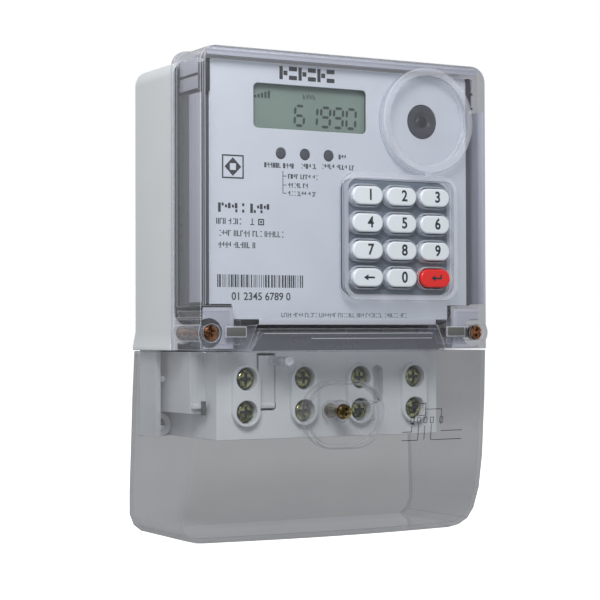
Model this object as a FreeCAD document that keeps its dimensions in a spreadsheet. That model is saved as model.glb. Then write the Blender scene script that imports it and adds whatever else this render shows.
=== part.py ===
"""Single-phase prepaid electricity meter with a keypad, as separate pieces.

Frame: +X right, +Z up, the front faces -Y. The origin is the centre of the wall face.
A depth is a distance from the wall plane towards the front, so a depth of d is y = -d.
"""
import FreeCAD, Part
import math
import os
import re
import Sketcher
from FreeCAD import Placement, Rotation, Vector

doc = FreeCAD.newDocument("prepaid_meter")

SIZES = [
    # base case
    ("case_half", 65.0, "half the width of the base case"),
    ("case_top", 74.5, "height of the base case's top"),
    ("seam_depth", 36.5, "depth of the seam between base case and main cover"),
    ("case_wall", 2.2, "thickness of the base case's side walls"),
    ("case_back", 2.5, "thickness of the base case's back wall"),
    ("case_round", 6.5, "corner radius of the base case"),
    ("case_floor", -28.8, "inside floor of the upper case"),
    ("floor_thick", 2.2, "thickness of that floor"),
    ("flare_half", 66.2, "half width of the flared lower edge"),
    ("flare_start", -32.0, "height where the flare starts"),
    ("flare_end", -38.0, "height where the flare is widest"),
    ("parting", -39.5, "height of the parting line of the two covers"),
    ("plate_half", 63.0, "half width of the lower back plate"),
    ("plate_low", -74.5, "lower edge of the back plate and the terminal block"),
    ("side_wall_depth", 16.0, "depth of the lower side walls"),
    ("fixing_x", 55.8, "fixing holes, distance from the middle"),
    ("fixing_z", -69.9, "fixing holes, height"),
    ("fixing_radius", 2.6, "fixing holes, radius"),
    ("fixing_boss", 4.6, "fixing bosses, radius"),
    ("fixing_boss_depth", 5.0, "fixing bosses, depth"),
    ("post_x", 59.0, "locating posts, distance from the middle"),
    ("post_z", -51.0, "locating posts, height"),
    # seal screws
    ("seal_x", 60.6, "cover seal screws, distance from the middle"),
    ("seal_z", -32.7, "cover seal screws, height"),
    ("seal_seat", 59.3, "depth of the washer seat of the cover seal screws"),
    ("mid_seal_z", -64.0, "terminal cover seal screw, height"),
    ("mid_seal_seat", 56.4, "depth of the washer seat of the terminal cover seal screw"),
    ("seal_shank", 1.95, "seal screw shank radius"),
    ("seal_bore", 2.0, "threaded insert bore radius"),
    ("seal_head", 2.9, "seal screw head radius"),
    ("seal_length", 31.0, "seal screw length under the head"),
    ("mid_seal_length", 27.0, "terminal cover seal screw length under the head"),
    ("tube_bore", 2.3, "bore radius of the clear screw tubes"),
    ("tube_outer", 4.4, "outer radius of the screw bosses and of the middle screw tube"),
    ("seal_tube", 5.6, "outer radius of the main cover's screw tubes"),
    ("washer_thick", 0.7, "retaining washer thickness"),
    ("insert_outer", 2.8, "threaded insert outer radius"),
    ("insert_length", 8.5, "threaded insert length"),
    # main cover
    ("cover_half", 65.3, "half the width of the main cover"),
    ("cover_top", 76.9, "height of the main cover's top"),
    ("cover_low", -29.6, "lower edge of the main cover between its corner blocks"),
    ("cover_depth", 62.0, "depth of the main cover's front"),
    ("cover_back", 36.9, "depth of the main cover's back rim"),
    ("cover_wall", 2.0, "thickness of the main cover"),
    ("cover_round", 6.5, "corner radius of the main cover"),
    ("rim_half", 66.0, "half width of the main cover's back rim"),
    ("rim_top", 77.6, "top of the main cover's back rim"),
    ("rim_thick", 2.2, "thickness of the main cover's back rim, along the depth"),
    ("block_in", 52.0, "inner side of the corner blocks' ribs"),
    ("block_top", -22.5, "top of the corner blocks' ribs"),
    ("tongue_top_half", 40.5, "half width of the terminal cover's tongue at its top"),
    ("tongue_low_half", 44.6, "half width of the terminal cover's tongue at the parting line"),
    ("tongue_top", -31.0, "top of the terminal cover's tongue"),
    ("notch_gap", 0.6, "gap beside the tongue"),
    # optical port
    ("port_x", 37.5, "optical port centre"),
    ("port_z", 53.3, "optical port height"),
    ("port_outer", 21.2, "optical port ring outer radius"),
    ("port_inner", 18.3, "optical port recess radius"),
    ("port_floor", 59.2, "depth of the optical port's floor"),
    ("port_lip", 62.5, "depth of the optical port's raised ring"),
    ("eye_radius", 6.85, "dark window disc of the optical port, radius"),
    # keypad
    ("pad_left", -3.0, "keypad bezel, left side"),
    ("pad_right", 51.0, "keypad bezel, right side"),
    ("pad_low", -19.7, "keypad bezel, lower side"),
    ("pad_high", 30.6, "keypad bezel, upper side"),
    ("pad_round", 6.5, "keypad bezel corner radius"),
    ("pad_lip", 63.2, "depth of the keypad bezel's lip"),
    ("pad_lip_wide", 2.0, "width of the keypad bezel's lip"),
    ("pad_floor", 60.4, "depth of the clear floor between the keys"),
    ("key_centre_x", 24.2, "keypad centre"),
    ("key_centre_z", 5.6, "keypad centre height"),
    ("key_pitch_x", 15.9, "key spacing across"),
    ("key_pitch_z", 10.9, "key spacing up"),
    ("key_half", 7.0, "half the length of a key"),
    ("key_radius", 3.7, "end radius of a key"),
    ("key_front", 62.8, "depth of the key tops"),
    ("key_back", 56.2, "depth of the key's inner ends"),
    ("key_gap", 0.4, "gap round a key"),
    ("collar_wall", 0.4, "wall of the collars round the keys"),
    ("collar_front", 61.5, "depth of the collars' edges"),
    ("mat_front", 58.3, "depth of the keypad mat's front"),
    ("mat_floor", 54.6, "depth of the pockets in the keypad mat"),
    # name plate, display and inner frame
    ("plate_front", 57.0, "depth of the name plate's front"),
    ("plate_thick", 0.8, "thickness of the name plate"),
    ("name_half", 59.0, "half width of the name plate"),
    ("name_top", 72.5, "top of the name plate"),
    ("name_low", -27.4, "lower edge of the name plate"),
    ("name_notch_x", 49.5, "name plate corner notches, inner side"),
    ("name_notch_z", -21.6, "name plate corner notches, upper side"),
    ("window_left", -40.0, "display window, left side"),
    ("window_right", 11.0, "display window, right side"),
    ("window_low", 46.9, "display window, lower side"),
    ("window_high", 64.4, "display window, upper side"),
    ("window_round", 2.0, "display window corner radius"),
    ("lamp_z", 37.4, "status lamp height"),
    ("lamp_middle_x", -17.2, "middle status lamp"),
    ("lamp_pitch", 10.75, "status lamp spacing"),
    ("lamp_radius", 2.1, "status lamp radius"),
    ("frame_half", 61.4, "half width of the inner frame"),
    ("frame_top", 72.0, "top of the inner frame"),
    ("frame_low", -27.4, "lower edge of the inner frame"),
    ("frame_back", 38.4, "depth of the inner frame's back edge"),
    ("frame_wall", 1.8, "wall of the inner frame"),
    ("frame_plate", 54.4, "depth of the back of the inner frame's plate"),
    ("glass_back", 52.2, "depth of the display glass's back"),
    ("glass_front", 54.2, "depth of the display glass's front"),
    # boards
    ("board_front", 50.0, "depth of the display board's front"),
    ("board_thick", 1.6, "thickness of the boards"),
    ("main_back", 18.0, "depth of the main board's back"),
    ("board_half", 56.5, "half width of the boards"),
    ("board_low", -24.5, "lower edge of the boards"),
    ("board_high", 69.0, "upper edge of the boards"),
    ("post_radius", 3.2, "radius of the board posts"),
    ("post_side", 52.5, "board posts, distance from the middle"),
    ("post_upper", 64.5, "upper board posts"),
    ("post_lower", -20.0, "lower board posts"),
    ("pilot_radius", 1.3, "pilot hole radius of the board posts"),
    # terminal block
    ("block_half", 51.0, "half width of the terminal block"),
    ("block_front", 46.5, "depth of the terminal block's face"),
    ("block_upper", -40.3, "top of the terminal block's front part"),
    ("block_tail", -31.9, "top of the terminal block's middle part"),
    ("block_rear", 36.2, "depth of the terminal block's rear part"),
    ("tail_half", 42.0, "half width of the terminal block's middle part"),
    ("wing_half", 57.5, "half width of the terminal block's rear wings"),
    ("wing_low", -64.4, "lower edge of the rear wings"),
    ("terminal_pitch", 25.87, "spacing of the terminals"),
    ("pad_face", 49.0, "depth of the raised pads' faces"),
    ("stud_radius", 6.0, "end radius of the raised pads"),
    ("stud_half", 12.2, "half the height of the raised pads"),
    ("screw_mid_z", -57.2, "middle between the two screws of a terminal"),
    ("screw_pitch", 13.0, "spacing of the two screws of a terminal"),
    ("screw_hole", 4.55, "radius of the screw holes"),
    ("cage_half", 6.0, "half the width of a terminal"),
    ("cage_low", -74.0, "lower end of a terminal"),
    ("cage_high", -46.5, "upper end of a terminal"),
    ("cage_back", 25.0, "depth of a terminal's back"),
    ("cage_front", 39.0, "depth of a terminal's front"),
    ("cage_gap", 0.15, "gap round a terminal"),
    ("cable_depth", 31.0, "depth of the cable bore's axis"),
    ("cable_radius", 4.1, "radius of the cable bore"),
    ("cable_length", 26.6, "length of the cable bore"),
    ("clamp_radius", 2.95, "terminal screw shank radius"),
    ("clamp_bore", 3.0, "terminal screw thread radius in the terminal"),
    ("clamp_head", 3.9, "terminal screw head radius"),
    ("clamp_seat", 44.5, "depth under the terminal screws' heads"),
    ("clamp_tip", 35.2, "depth of the terminal screws' tips"),
    ("clamp_head_high", 3.0, "height of a terminal screw's head"),
    ("bar_half", 4.0, "half the width of a busbar"),
    ("bar_back", 28.0, "depth of a busbar's back"),
    ("bar_thick", 1.5, "thickness of a busbar"),
    ("bar_top", -20.0, "upper end of the busbars"),
    # tamper lever
    ("lever_left", -32.3, "tamper lever, left side"),
    ("lever_right", -25.3, "tamper lever, right side"),
    ("lever_top", -41.6, "tamper lever, upper end"),
    ("lever_low", -63.0, "tamper lever, lower end"),
    ("lever_thick", 2.0, "tamper lever thickness"),
    ("lever_slot", 0.9, "slot along the lever's left side and top"),
    ("lever_pivot_z", -61.2, "tamper lever pivot height"),
    ("lever_pin", 1.0, "tamper lever pivot pin radius"),
    ("lever_pocket", 41.2, "depth of the floor of the lever's pocket"),
    ("switch_z", -48.5, "height of the micro switch's plunger"),
    ("tamper_x", -26.9, "tamper pin of the terminal cover"),
    ("tamper_z", -43.8, "tamper pin height"),
    ("tamper_radius", 1.9, "tamper pin radius"),
    ("tamper_tip", 46.8, "depth of the tamper pin's tip"),
    # terminal cover
    ("skirt_wall", 1.8, "thickness of the terminal cover"),
    ("skirt_round", 3.6, "radius of the terminal cover's front edges"),
    ("skirt_back", 0.5, "depth of the terminal cover's back edges"),
    ("tongue_wall", 1.6, "thickness of the raised tongue"),
    ("wire_left", 4.6, "left end of the seal wire's bars"),
    ("wire_right", 13.6, "right end of the seal wire's bars"),
    ("wire_upper", -61.2, "underside of the upper seal wire bar"),
    ("wire_lower", -67.8, "underside of the lower seal wire bar"),
    ("wire_thick", 1.0, "thickness of the seal wire's bars"),
    ("wire_rise", 2.6, "how far the seal wire's bars stand up from the seal's seat"),
    ("oval_half", 4.6, "half the distance between the seal recess's end centres"),
    ("oval_radius", 11.9, "end radius of the seal recess"),
    ("oval_lip", 59.5, "depth of the seal recess's lip"),
    ("oval_x", -0.6, "seal recess centre"),
    ("oval_z", -65.0, "seal recess height"),
    # hanging lug
    ("lug_half", 8.1, "half the width of the hanging lug"),
    ("lug_neck", 6.2, "half the width of the lug's outer step"),
    ("lug_low", 40.3, "lower end of the lug"),
    ("lug_high", 74.0, "upper end of the lug"),
    ("lug_outer", 0.3, "depth of the lug's outer face"),
    ("lug_step", 1.45, "depth of the lug's step"),
    ("lug_inner", 3.15, "depth of the lug's inner face"),
    ("lug_hole_z", 67.5, "height of the lug's hole"),
    ("lug_hole", 2.5, "radius of the lug's hole"),
    ("slide_gap", 0.3, "gap round the sliding lug"),
]

# The terminal cover's outline from top to bottom:
# height, half width, depth of the front edges, and how far the front bows out at the middle.
SKIRT_SECTIONS = [
    (-39.9, 65.8, 63.0, 0.3),
    (-59.0, 66.7, 61.0, 0.3),
    (-83.0, 67.6, 58.0, 0.6),
    (-97.0, 68.0, 54.8, 1.2),
    (-106.0, 68.0, 50.8, 2.2),
    (-110.5, 66.2, 48.8, 3.2),
    (-113.0, 63.0, 47.2, 4.0),
    (-114.0, 59.0, 45.9, 4.5),
]
SKIRT_NAMES = ("rise", "half", "reach", "bow")

KEY_NAMES = [
    ["key_1", "key_2", "key_3"],
    ["key_4", "key_5", "key_6"],
    ["key_7", "key_8", "key_9"],
    ["key_back", "key_0", "key_enter"],
]
TERMINALS = {1: -1.5, 2: -0.5, 3: 0.5, 4: 1.5}

for number, section in enumerate(SKIRT_SECTIONS):
    for part_name, size in zip(SKIRT_NAMES, section):
        SIZES.append(("skirt_%s_%s" % (part_name, "abcdefgh"[number]), size, "terminal cover outline"))

sheet = doc.addObject("Spreadsheet::Sheet", "sizes")
for row, (alias, size, meaning) in enumerate(SIZES, start=1):
    sheet.set("A%d" % row, meaning)
    sheet.set("B%d" % row, str(size))
    sheet.setAlias("B%d" % row, alias)
doc.recompute()
ALIASES = re.compile(r"\b(%s)\b" % "|".join(alias for alias, size, meaning in SIZES))


def in_sheet(formula):
    """The formula with each size read from the sheet."""
    return ALIASES.sub(r"sizes.\1", str(formula))


def value(formula):
    """The number that a formula gives."""
    return float(sheet.evalExpression(in_sheet(formula)))


def bind(target, path, formula):
    """Bind a property of an object to a formula of the sheet's sizes."""
    target.setExpression(path, in_sheet(formula))


# ---------------------------------------------------------------- sketches

def place(target, across, depth, height):
    """Put an object at a place given by its x, its depth and its z."""
    bind(target, "Placement.Base.x", across)
    bind(target, "Placement.Base.y", "-(%s)" % depth)
    bind(target, "Placement.Base.z", height)


def new_body(name, across="0", depth="0", height="0"):
    """A new body with its origin at a place of the meter."""
    body = doc.addObject("PartDesign::Body", name)
    place(body, across, depth, height)
    return body


def new_sketch(body, role, offset):
    """A sketch on an origin plane of the body, moved along the plane's normal."""
    sketch = body.newObject("Sketcher::SketchObject", body.Name + "_sketch")
    plane = [feature for feature in body.Origin.OriginFeatures if feature.Role == role][0]
    sketch.AttachmentSupport = [(plane, "")]
    sketch.MapMode = "FlatFace"
    bind(sketch, "AttachmentOffset.Base.z", offset)
    return sketch


def fix_point(sketch, geometry, end, across, up):
    """Hold one point of a sketch at a place given by two formulas."""
    for kind, axis, formula in (("DistanceX", -2, across), ("DistanceY", -1, up)):
        size = value(formula)
        if abs(size) < 1e-9:
            sketch.addConstraint(Sketcher.Constraint("PointOnObject", geometry, end, axis))
        else:
            index = sketch.addConstraint(Sketcher.Constraint(kind, -1, 1, geometry, end, size))
            bind(sketch, "Constraints[%d]" % index, formula)


def fix_radius(sketch, geometry, formula):
    """Hold the radius of a circle or an arc."""
    index = sketch.addConstraint(Sketcher.Constraint("Radius", geometry, value(formula)))
    bind(sketch, "Constraints[%d]" % index, formula)


def draw_circle(sketch, across, up, radius):
    """A circle, fully held."""
    centre = Vector(value(across), value(up), 0)
    circle = sketch.addGeometry(Part.Circle(centre, Vector(0, 0, 1), value(radius)), False)
    fix_point(sketch, circle, 3, across, up)
    fix_radius(sketch, circle, radius)


def draw_outline(sketch, corners):
    """A closed outline of straight sides; each corner is x, z and an optional radius."""
    spots = [Vector(value(corner[0]), value(corner[1]), 0) for corner in corners]
    count = len(corners)
    starts = []
    ends = []
    rounds = []
    for index, corner in enumerate(corners):
        spot = spots[index]
        to_last = (spots[index - 1] - spot).normalize()
        to_next = (spots[(index + 1) % count] - spot).normalize()
        if len(corner) < 3:
            rounds.append(None)
            ends.append(spot)
            starts.append(spot)
            continue
        radius = value(corner[2])
        half = to_last.getAngle(to_next) / 2
        ends.append(spot + to_last * (radius / math.tan(half)))
        starts.append(spot + to_next * (radius / math.tan(half)))
        centre = spot + (to_last + to_next).normalize() * (radius / math.sin(half))
        left_turn = to_next.cross(to_last).z > 0
        first, last = (ends[-1], starts[-1]) if left_turn else (starts[-1], ends[-1])
        low = math.atan2(first.y - centre.y, first.x - centre.x)
        high = math.atan2(last.y - centre.y, last.x - centre.x)
        if high < low:
            high += 2 * math.pi
        circle = Part.Circle(centre, Vector(0, 0, 1), radius)
        rounds.append((Part.ArcOfCircle(circle, low, high), left_turn))
    lines = []
    for index in range(count):
        line = Part.LineSegment(starts[index], ends[(index + 1) % count])
        lines.append(sketch.addGeometry(line, False))
    for index, corner in enumerate(corners):
        before = lines[index - 1]
        after = lines[index]
        if rounds[index] is None:
            sketch.addConstraint(Sketcher.Constraint("Coincident", before, 2, after, 1))
            fix_point(sketch, after, 1, corner[0], corner[1])
            continue
        arc, left_turn = rounds[index]
        arc = sketch.addGeometry(arc, False)
        entry, leave = (1, 2) if left_turn else (2, 1)
        sketch.addConstraint(Sketcher.Constraint("Tangent", before, 2, arc, entry))
        sketch.addConstraint(Sketcher.Constraint("Tangent", arc, leave, after, 1))
        fix_radius(sketch, arc, corner[2])
        apex = sketch.addGeometry(Part.Point(spots[index]), True)
        fix_point(sketch, apex, 1, corner[0], corner[1])
        sketch.addConstraint(Sketcher.Constraint("PointOnObject", apex, 1, before))
        sketch.addConstraint(Sketcher.Constraint("PointOnObject", apex, 1, after))


def rectangle(left, right, low, high, radius=None):
    """The corners of a rectangle, rounded where a radius is given."""
    corners = [(left, low), (right, low), (right, high), (left, high)]
    return corners if radius is None else [corner + (radius,) for corner in corners]


def draw_stadium(sketch, first, second, radius):
    """A slot shape: two half circles round two centres, joined by straight sides."""
    spots = [Vector(value(point[0]), value(point[1]), 0) for point in (first, second)]
    along = (spots[1] - spots[0]).normalize()
    size = value(radius)
    side = Vector(-along.y, along.x, 0) * size
    lean = math.atan2(along.y, along.x)
    arcs = []
    for index, (point, turn) in enumerate(((first, math.pi / 2), (second, -math.pi / 2))):
        circle = Part.Circle(spots[index], Vector(0, 0, 1), size)
        arc = Part.ArcOfCircle(circle, lean + turn, lean + turn + math.pi)
        arcs.append(sketch.addGeometry(arc, False))
        fix_point(sketch, arcs[index], 3, point[0], point[1])
    fix_radius(sketch, arcs[0], radius)
    sketch.addConstraint(Sketcher.Constraint("Equal", arcs[0], arcs[1]))
    low = sketch.addGeometry(Part.LineSegment(spots[0] - side, spots[1] - side), False)
    high = sketch.addGeometry(Part.LineSegment(spots[1] + side, spots[0] + side), False)
    for before, exit_end, after, entry_end in (
        (arcs[0], 2, low, 1), (low, 2, arcs[1], 1), (arcs[1], 2, high, 1), (high, 2, arcs[0], 1),
    ):
        sketch.addConstraint(Sketcher.Constraint("Tangent", before, exit_end, after, entry_end))


# ---------------------------------------------------------------- features

def add_front(body, near, far, outlines=(), circles=(), stadiums=()):
    """Pad outlines, seen from the front, from one depth to a greater one."""
    pad = front_feature(body, "PartDesign::Pad", near, near, far, outlines, circles, stadiums)
    return pad


def cut_front(body, near, far, outlines=(), circles=(), stadiums=()):
    """Pocket outlines, seen from the front, from the greater depth back to the other."""
    return front_feature(body, "PartDesign::Pocket", far, near, far, outlines, circles, stadiums)


def front_feature(body, kind, plane_depth, near, far, outlines, circles, stadiums):
    """A pad or a pocket between two depths; its sketch lies at plane_depth."""
    sketch = new_sketch(body, "XZ_Plane", plane_depth)
    for corners in outlines:
        draw_outline(sketch, corners)
    for across, up, radius in circles:
        draw_circle(sketch, across, up, radius)
    for first, second, radius in stadiums:
        draw_stadium(sketch, first, second, radius)
    return finish_feature(body, kind, sketch, "(%s) - (%s)" % (far, near))


def finish_feature(body, kind, sketch, length):
    """Make a pad or a pocket of a sketch, and check that it changed the body."""
    before = body.Shape.Volume if body.Tip else 0.0
    feature = body.newObject(kind, body.Name + "_step")
    feature.Profile = sketch
    bind(feature, "Length", length)
    doc.recompute()
    change = body.Shape.Volume - before
    if (change < 1e-6) if kind.endswith("Pad") else (change > -1e-6):
        raise RuntimeError("no change by " + feature.Name)
    return feature


def named(target, label):
    """Give the finished object of a sub-part its name."""
    target.Label = label
    SUBPARTS[label] = target
    return target


def box(name, left, right, near, far, low, high):
    """A box between two x, two depths and two heights."""
    made = doc.addObject("Part::Box", name)
    bind(made, "Length", "(%s) - (%s)" % (right, left))
    bind(made, "Width", "(%s) - (%s)" % (far, near))
    bind(made, "Height", "(%s) - (%s)" % (high, low))
    place(made, left, far, low)
    return made


def rod(name, across, near, far, height, radius):
    """A round bar along the depth."""
    made = doc.addObject("Part::Cylinder", name)
    made.Placement = Placement(Vector(), Rotation(Vector(1, 0, 0), 90))
    bind(made, "Radius", radius)
    bind(made, "Height", "(%s) - (%s)" % (far, near))
    place(made, across, near, height)
    return made


def upright(name, across, depth, low, high, radius):
    """A round bar along the height."""
    made = doc.addObject("Part::Cylinder", name)
    bind(made, "Radius", radius)
    bind(made, "Height", "(%s) - (%s)" % (high, low))
    place(made, across, depth, low)
    return made


def crossbar(name, left, right, depth, height, radius):
    """A round bar along the width."""
    made = doc.addObject("Part::Cylinder", name)
    made.Placement = Placement(Vector(), Rotation(Vector(0, 1, 0), 90))
    bind(made, "Radius", radius)
    bind(made, "Height", "(%s) - (%s)" % (right, left))
    place(made, left, depth, height)
    return made


def joined(name, pieces):
    """One object of several solids."""
    made = doc.addObject("Part::MultiFuse", name)
    made.Shapes = pieces
    return made


def cut_from(name, base, tools):
    """A base with other shapes cut out of it."""
    made = doc.addObject("Part::Cut", name)
    made.Base = base
    made.Tool = tools[0] if len(tools) == 1 else joined(name + "_tools", tools)
    return made


SUBPARTS = {}
SIDES = ("-", "")
POSTS = [(side + "post_side", height) for side in SIDES for height in ("post_upper", "post_lower")]


# ---------------------------------------------------------------- casings

def make_base_case():
    """Light grey base: upper box, lower back plate, bosses and the channel of the lug."""
    body = new_body("base_case")
    add_front(body, "0", "seam_depth", [[
        ("-flare_half", "parting"), ("flare_half", "parting"), ("flare_half", "flare_end"),
        ("case_half", "flare_start"), ("case_half", "case_top", "case_round"),
        ("-case_half", "case_top", "case_round"), ("-case_half", "flare_start"),
        ("-flare_half", "flare_end"),
    ]])
    inner = "case_half - case_wall"
    cut_front(body, "case_back", "seam_depth", [rectangle(
        "-(%s)" % inner, inner, "case_floor", "case_top - case_wall", "case_round - case_wall")])
    cut_front(body, "case_back", "seam_depth", [rectangle(
        "-(%s)" % inner, inner, "parting - 1", "case_floor - floor_thick")])
    add_front(body, "0", "case_back", [rectangle("-plate_half", "plate_half", "plate_low", "parting + 1")])
    for side in SIDES:
        edges = [side + "(plate_half - case_wall)", side + "plate_half"]
        if side:
            edges.reverse()
        add_front(body, "case_back", "side_wall_depth",
                  [rectangle(edges[0], edges[1], "plate_low", "parting + 1")])
    fixings = [(side + "fixing_x", "fixing_z") for side in SIDES]
    add_front(body, "case_back", "fixing_boss_depth", circles=[spot + ("fixing_boss",) for spot in fixings])
    cut_front(body, "0", "fixing_boss_depth", circles=[spot + ("fixing_radius",) for spot in fixings])
    add_front(body, "case_back", "side_wall_depth - 2",
              circles=[(side + "post_x", "post_z", "pilot_radius") for side in SIDES])
    seals = [(side + "seal_x", "seal_z") for side in SIDES]
    add_front(body, "case_back", "seam_depth", circles=[spot + ("tube_outer",) for spot in seals])
    cut_front(body, "seam_depth - 0.5 - insert_length", "seam_depth",
              circles=[spot + ("insert_outer",) for spot in seals])
    add_front(body, "case_back", "main_back", circles=[spot + ("post_radius",) for spot in POSTS])
    cut_front(body, "main_back - 8", "main_back", circles=[spot + ("pilot_radius",) for spot in POSTS])
    for number in TERMINALS:
        across = terminal_x(number)
        cut_front(body, "bar_back - 0.4", "bar_back + bar_thick + 0.4", [rectangle(
            "%s - bar_half - 0.4" % across, "%s + bar_half + 0.4" % across, "case_floor - floor_thick - 1",
            "case_floor + 1")])
    add_front(body, "case_back", "lug_inner + 2.6", [rectangle(
        "-(lug_half + 5)", "lug_half + 5", "lug_low - 5", "case_top - case_wall + 1")])
    channel_low = "lug_low - slide_gap"
    cut_front(body, "lug_step - slide_gap", "lug_inner + slide_gap", [rectangle(
        "-(lug_half + slide_gap)", "lug_half + slide_gap", channel_low, "case_top + 1")])
    cut_front(body, "0", "lug_step - slide_gap", [rectangle(
        "-(lug_neck + slide_gap)", "lug_neck + slide_gap", channel_low, "case_top + 1")])
    named(body, "base_case")


def make_cover_gasket():
    """Thin gasket between the base case and the main cover."""
    body = new_body("cover_gasket")
    add_front(body, "seam_depth", "cover_back", [
        rectangle("-(case_half - 0.4)", "case_half - 0.4", "cover_low", "case_top - 0.4", "case_round - 0.4"),
        rectangle("-(case_half - 1.8)", "case_half - 1.8", "cover_low + 0.9", "case_top - 1.8",
                  "case_round - 1.8"),
    ])
    named(body, "cover_gasket")


def cover_outline(half, top, radius):
    """Front outline of the main cover, with its corner blocks and the notch for the tongue."""
    low = "parting + 0.2"
    half_outline = [
        ("tongue_low_half + notch_gap", low), (half, low), (half, top, radius),
    ]
    mirrored = [("-(%s)" % corner[0],) + corner[1:] for corner in reversed(half_outline)]
    notch = [("-(tongue_top_half + notch_gap)", "cover_low"), ("tongue_top_half + notch_gap", "cover_low")]
    return notch + half_outline + mirrored


def make_main_cover():
    """Clear cover: thin shell, optical port, key bezel and two corner blocks."""
    body = new_body("main_cover")
    back = "cover_back"
    inside = "cover_depth - cover_wall"
    inner_half = "cover_half - cover_wall"
    add_front(body, back, "cover_depth", [cover_outline("cover_half", "cover_top", "cover_round")])
    add_front(body, back, "cover_back + rim_thick", [cover_outline("rim_half", "rim_top", "cover_round")])
    cut_front(body, back, inside, [rectangle(
        "-(%s)" % inner_half, inner_half, "cover_low + cover_wall", "cover_top - cover_wall",
        "cover_round - cover_wall")])
    for side in SIDES:
        # The hollow of a corner block, and the rib round its upper inner corner.
        edges = [side + "(tongue_low_half + notch_gap + cover_wall)", side + "(%s)" % inner_half]
        ribs = [side + "(block_in - 1.6)", side + "block_in", side + "(%s)" % inner_half]
        if side:
            edges.reverse()
        cut_front(body, back, inside, [rectangle(
            edges[0], edges[1], "parting + 0.2 + cover_wall", "cover_low + cover_wall + 1")])
        add_front(body, back, "%s + 0.5" % inside, [[
            (ribs[0], "parting + 1"), (ribs[1], "parting + 1"), (ribs[1], "block_top - 1.6"),
            (ribs[2], "block_top - 1.6"), (ribs[2], "block_top"), (ribs[0], "block_top"),
        ]])
    seals = [(side + "seal_x", "seal_z") for side in SIDES]
    add_front(body, back, "cover_depth", circles=[spot + ("seal_tube",) for spot in seals])
    cut_front(body, back, "cover_depth", circles=[spot + ("tube_bore",) for spot in seals])
    cut_front(body, "seal_seat", "cover_depth", circles=[spot + ("seal_head + 0.5",) for spot in seals])
    windows = [[side + "46.4", side + "50.2"] for side in SIDES]
    for edges in windows:
        if edges[0].startswith("-"):
            edges.reverse()
        cut_front(body, inside, "cover_depth", [rectangle(edges[0], edges[1], "-34.2", "-31.2", "0.4")])
    # Optical port: a thicker disc inside, a raised ring and a round recess.
    port = ("port_x", "port_z")
    add_front(body, "port_floor - 1.6", inside, circles=[port + ("port_outer",)])
    add_front(body, "cover_depth", "port_lip", circles=[port + ("port_outer",), port + ("port_inner",)])
    cut_front(body, "port_floor", "cover_depth", circles=[port + ("port_inner",)])
    # Keypad: a raised lip round a sunk clear floor with a collar round each key.
    outer = rectangle("pad_left", "pad_right", "pad_low", "pad_high", "pad_round")
    inner = rectangle(
        "pad_left + pad_lip_wide", "pad_right - pad_lip_wide", "pad_low + pad_lip_wide",
        "pad_high - pad_lip_wide", "pad_round - pad_lip_wide")
    add_front(body, "pad_floor - 1.6", inside, [outer])
    add_front(body, "cover_depth", "pad_lip", [outer, inner])
    cut_front(body, "pad_floor", "cover_depth", [inner])
    rounds = key_stadiums("key_gap")
    collars = key_stadiums("key_gap + collar_wall") + rounds
    add_front(body, "pad_floor", "collar_front", stadiums=collars)
    cut_front(body, "pad_floor - 1.6", "pad_floor", stadiums=rounds)
    named(body, "main_cover")


def key_spots():
    """Name, x and z of each key."""
    spots = []
    for row, names in enumerate(KEY_NAMES):
        for column, name in enumerate(names):
            across = "key_centre_x + (%d) * key_pitch_x" % (column - 1)
            up = "key_centre_z + (%.1f) * key_pitch_z" % (1.5 - row)
            spots.append((name, across, up))
    return spots


def key_stadiums(margin):
    """Slot shapes round all the keys, larger than the keys by a margin."""
    reach = "(key_half - key_radius)"
    shapes = []
    for name, across, up in key_spots():
        left = (across + " - " + reach, up)
        right = (across + " + " + reach, up)
        shapes.append((left, right, "key_radius + " + margin))
    return shapes


# ---------------------------------------------------------------- keypad and display

def make_keys():
    """Twelve key caps, each with its origin at the middle of its top."""
    for name, across, up in key_spots():
        body = new_body(name, across, "key_front", up)
        reach = "key_half - key_radius"
        ends = (("-(%s)" % reach, "0"), (reach, "0"))
        add_front(body, "key_back - key_front", "0", stadiums=[ends + ("key_radius",)])
        dome = body.newObject("PartDesign::Fillet", name + "_edge")
        step = body.Tip if body.Tip != dome else dome.BaseFeature
        rim = [
            "Edge%d" % (index + 1) for index, edge in enumerate(step.Shape.Edges)
            if abs(edge.BoundBox.YMin) < 1e-6 and abs(edge.BoundBox.YMax) < 1e-6
        ]
        dome.Base = (step, rim)
        dome.Radius = 1.2
        doc.recompute()
        named(body, name)


def make_keypad_mat():
    """Translucent mat with a pocket under each key."""
    body = new_body("keypad_mat")
    add_front(body, "board_front", "mat_front", [rectangle(
        "pad_left + 2.4", "pad_right - 2.4", "pad_low + 2.4", "pad_high - 2.4", "4.2")])
    cut_front(body, "mat_floor", "mat_front", stadiums=key_stadiums("key_gap"))
    named(body, "keypad_mat")


def plate_openings(grow):
    """Openings for the display, the lamps, the optical eye and the keypad."""
    window = rectangle(
        "window_left - " + grow, "window_right + " + grow, "window_low - " + grow, "window_high + " + grow,
        "window_round")
    keys = rectangle(
        "pad_left + 2", "pad_right - 2", "pad_low + 2", "pad_high - 2", "pad_round - 2")
    lamps = [("lamp_middle_x + (%d) * lamp_pitch" % step, "lamp_z", "lamp_radius + 0.2") for step in (-1, 0, 1)]
    eye = ("port_x", "port_z", "eye_radius + 0.2")
    return [window, keys], lamps + [eye]


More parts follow.
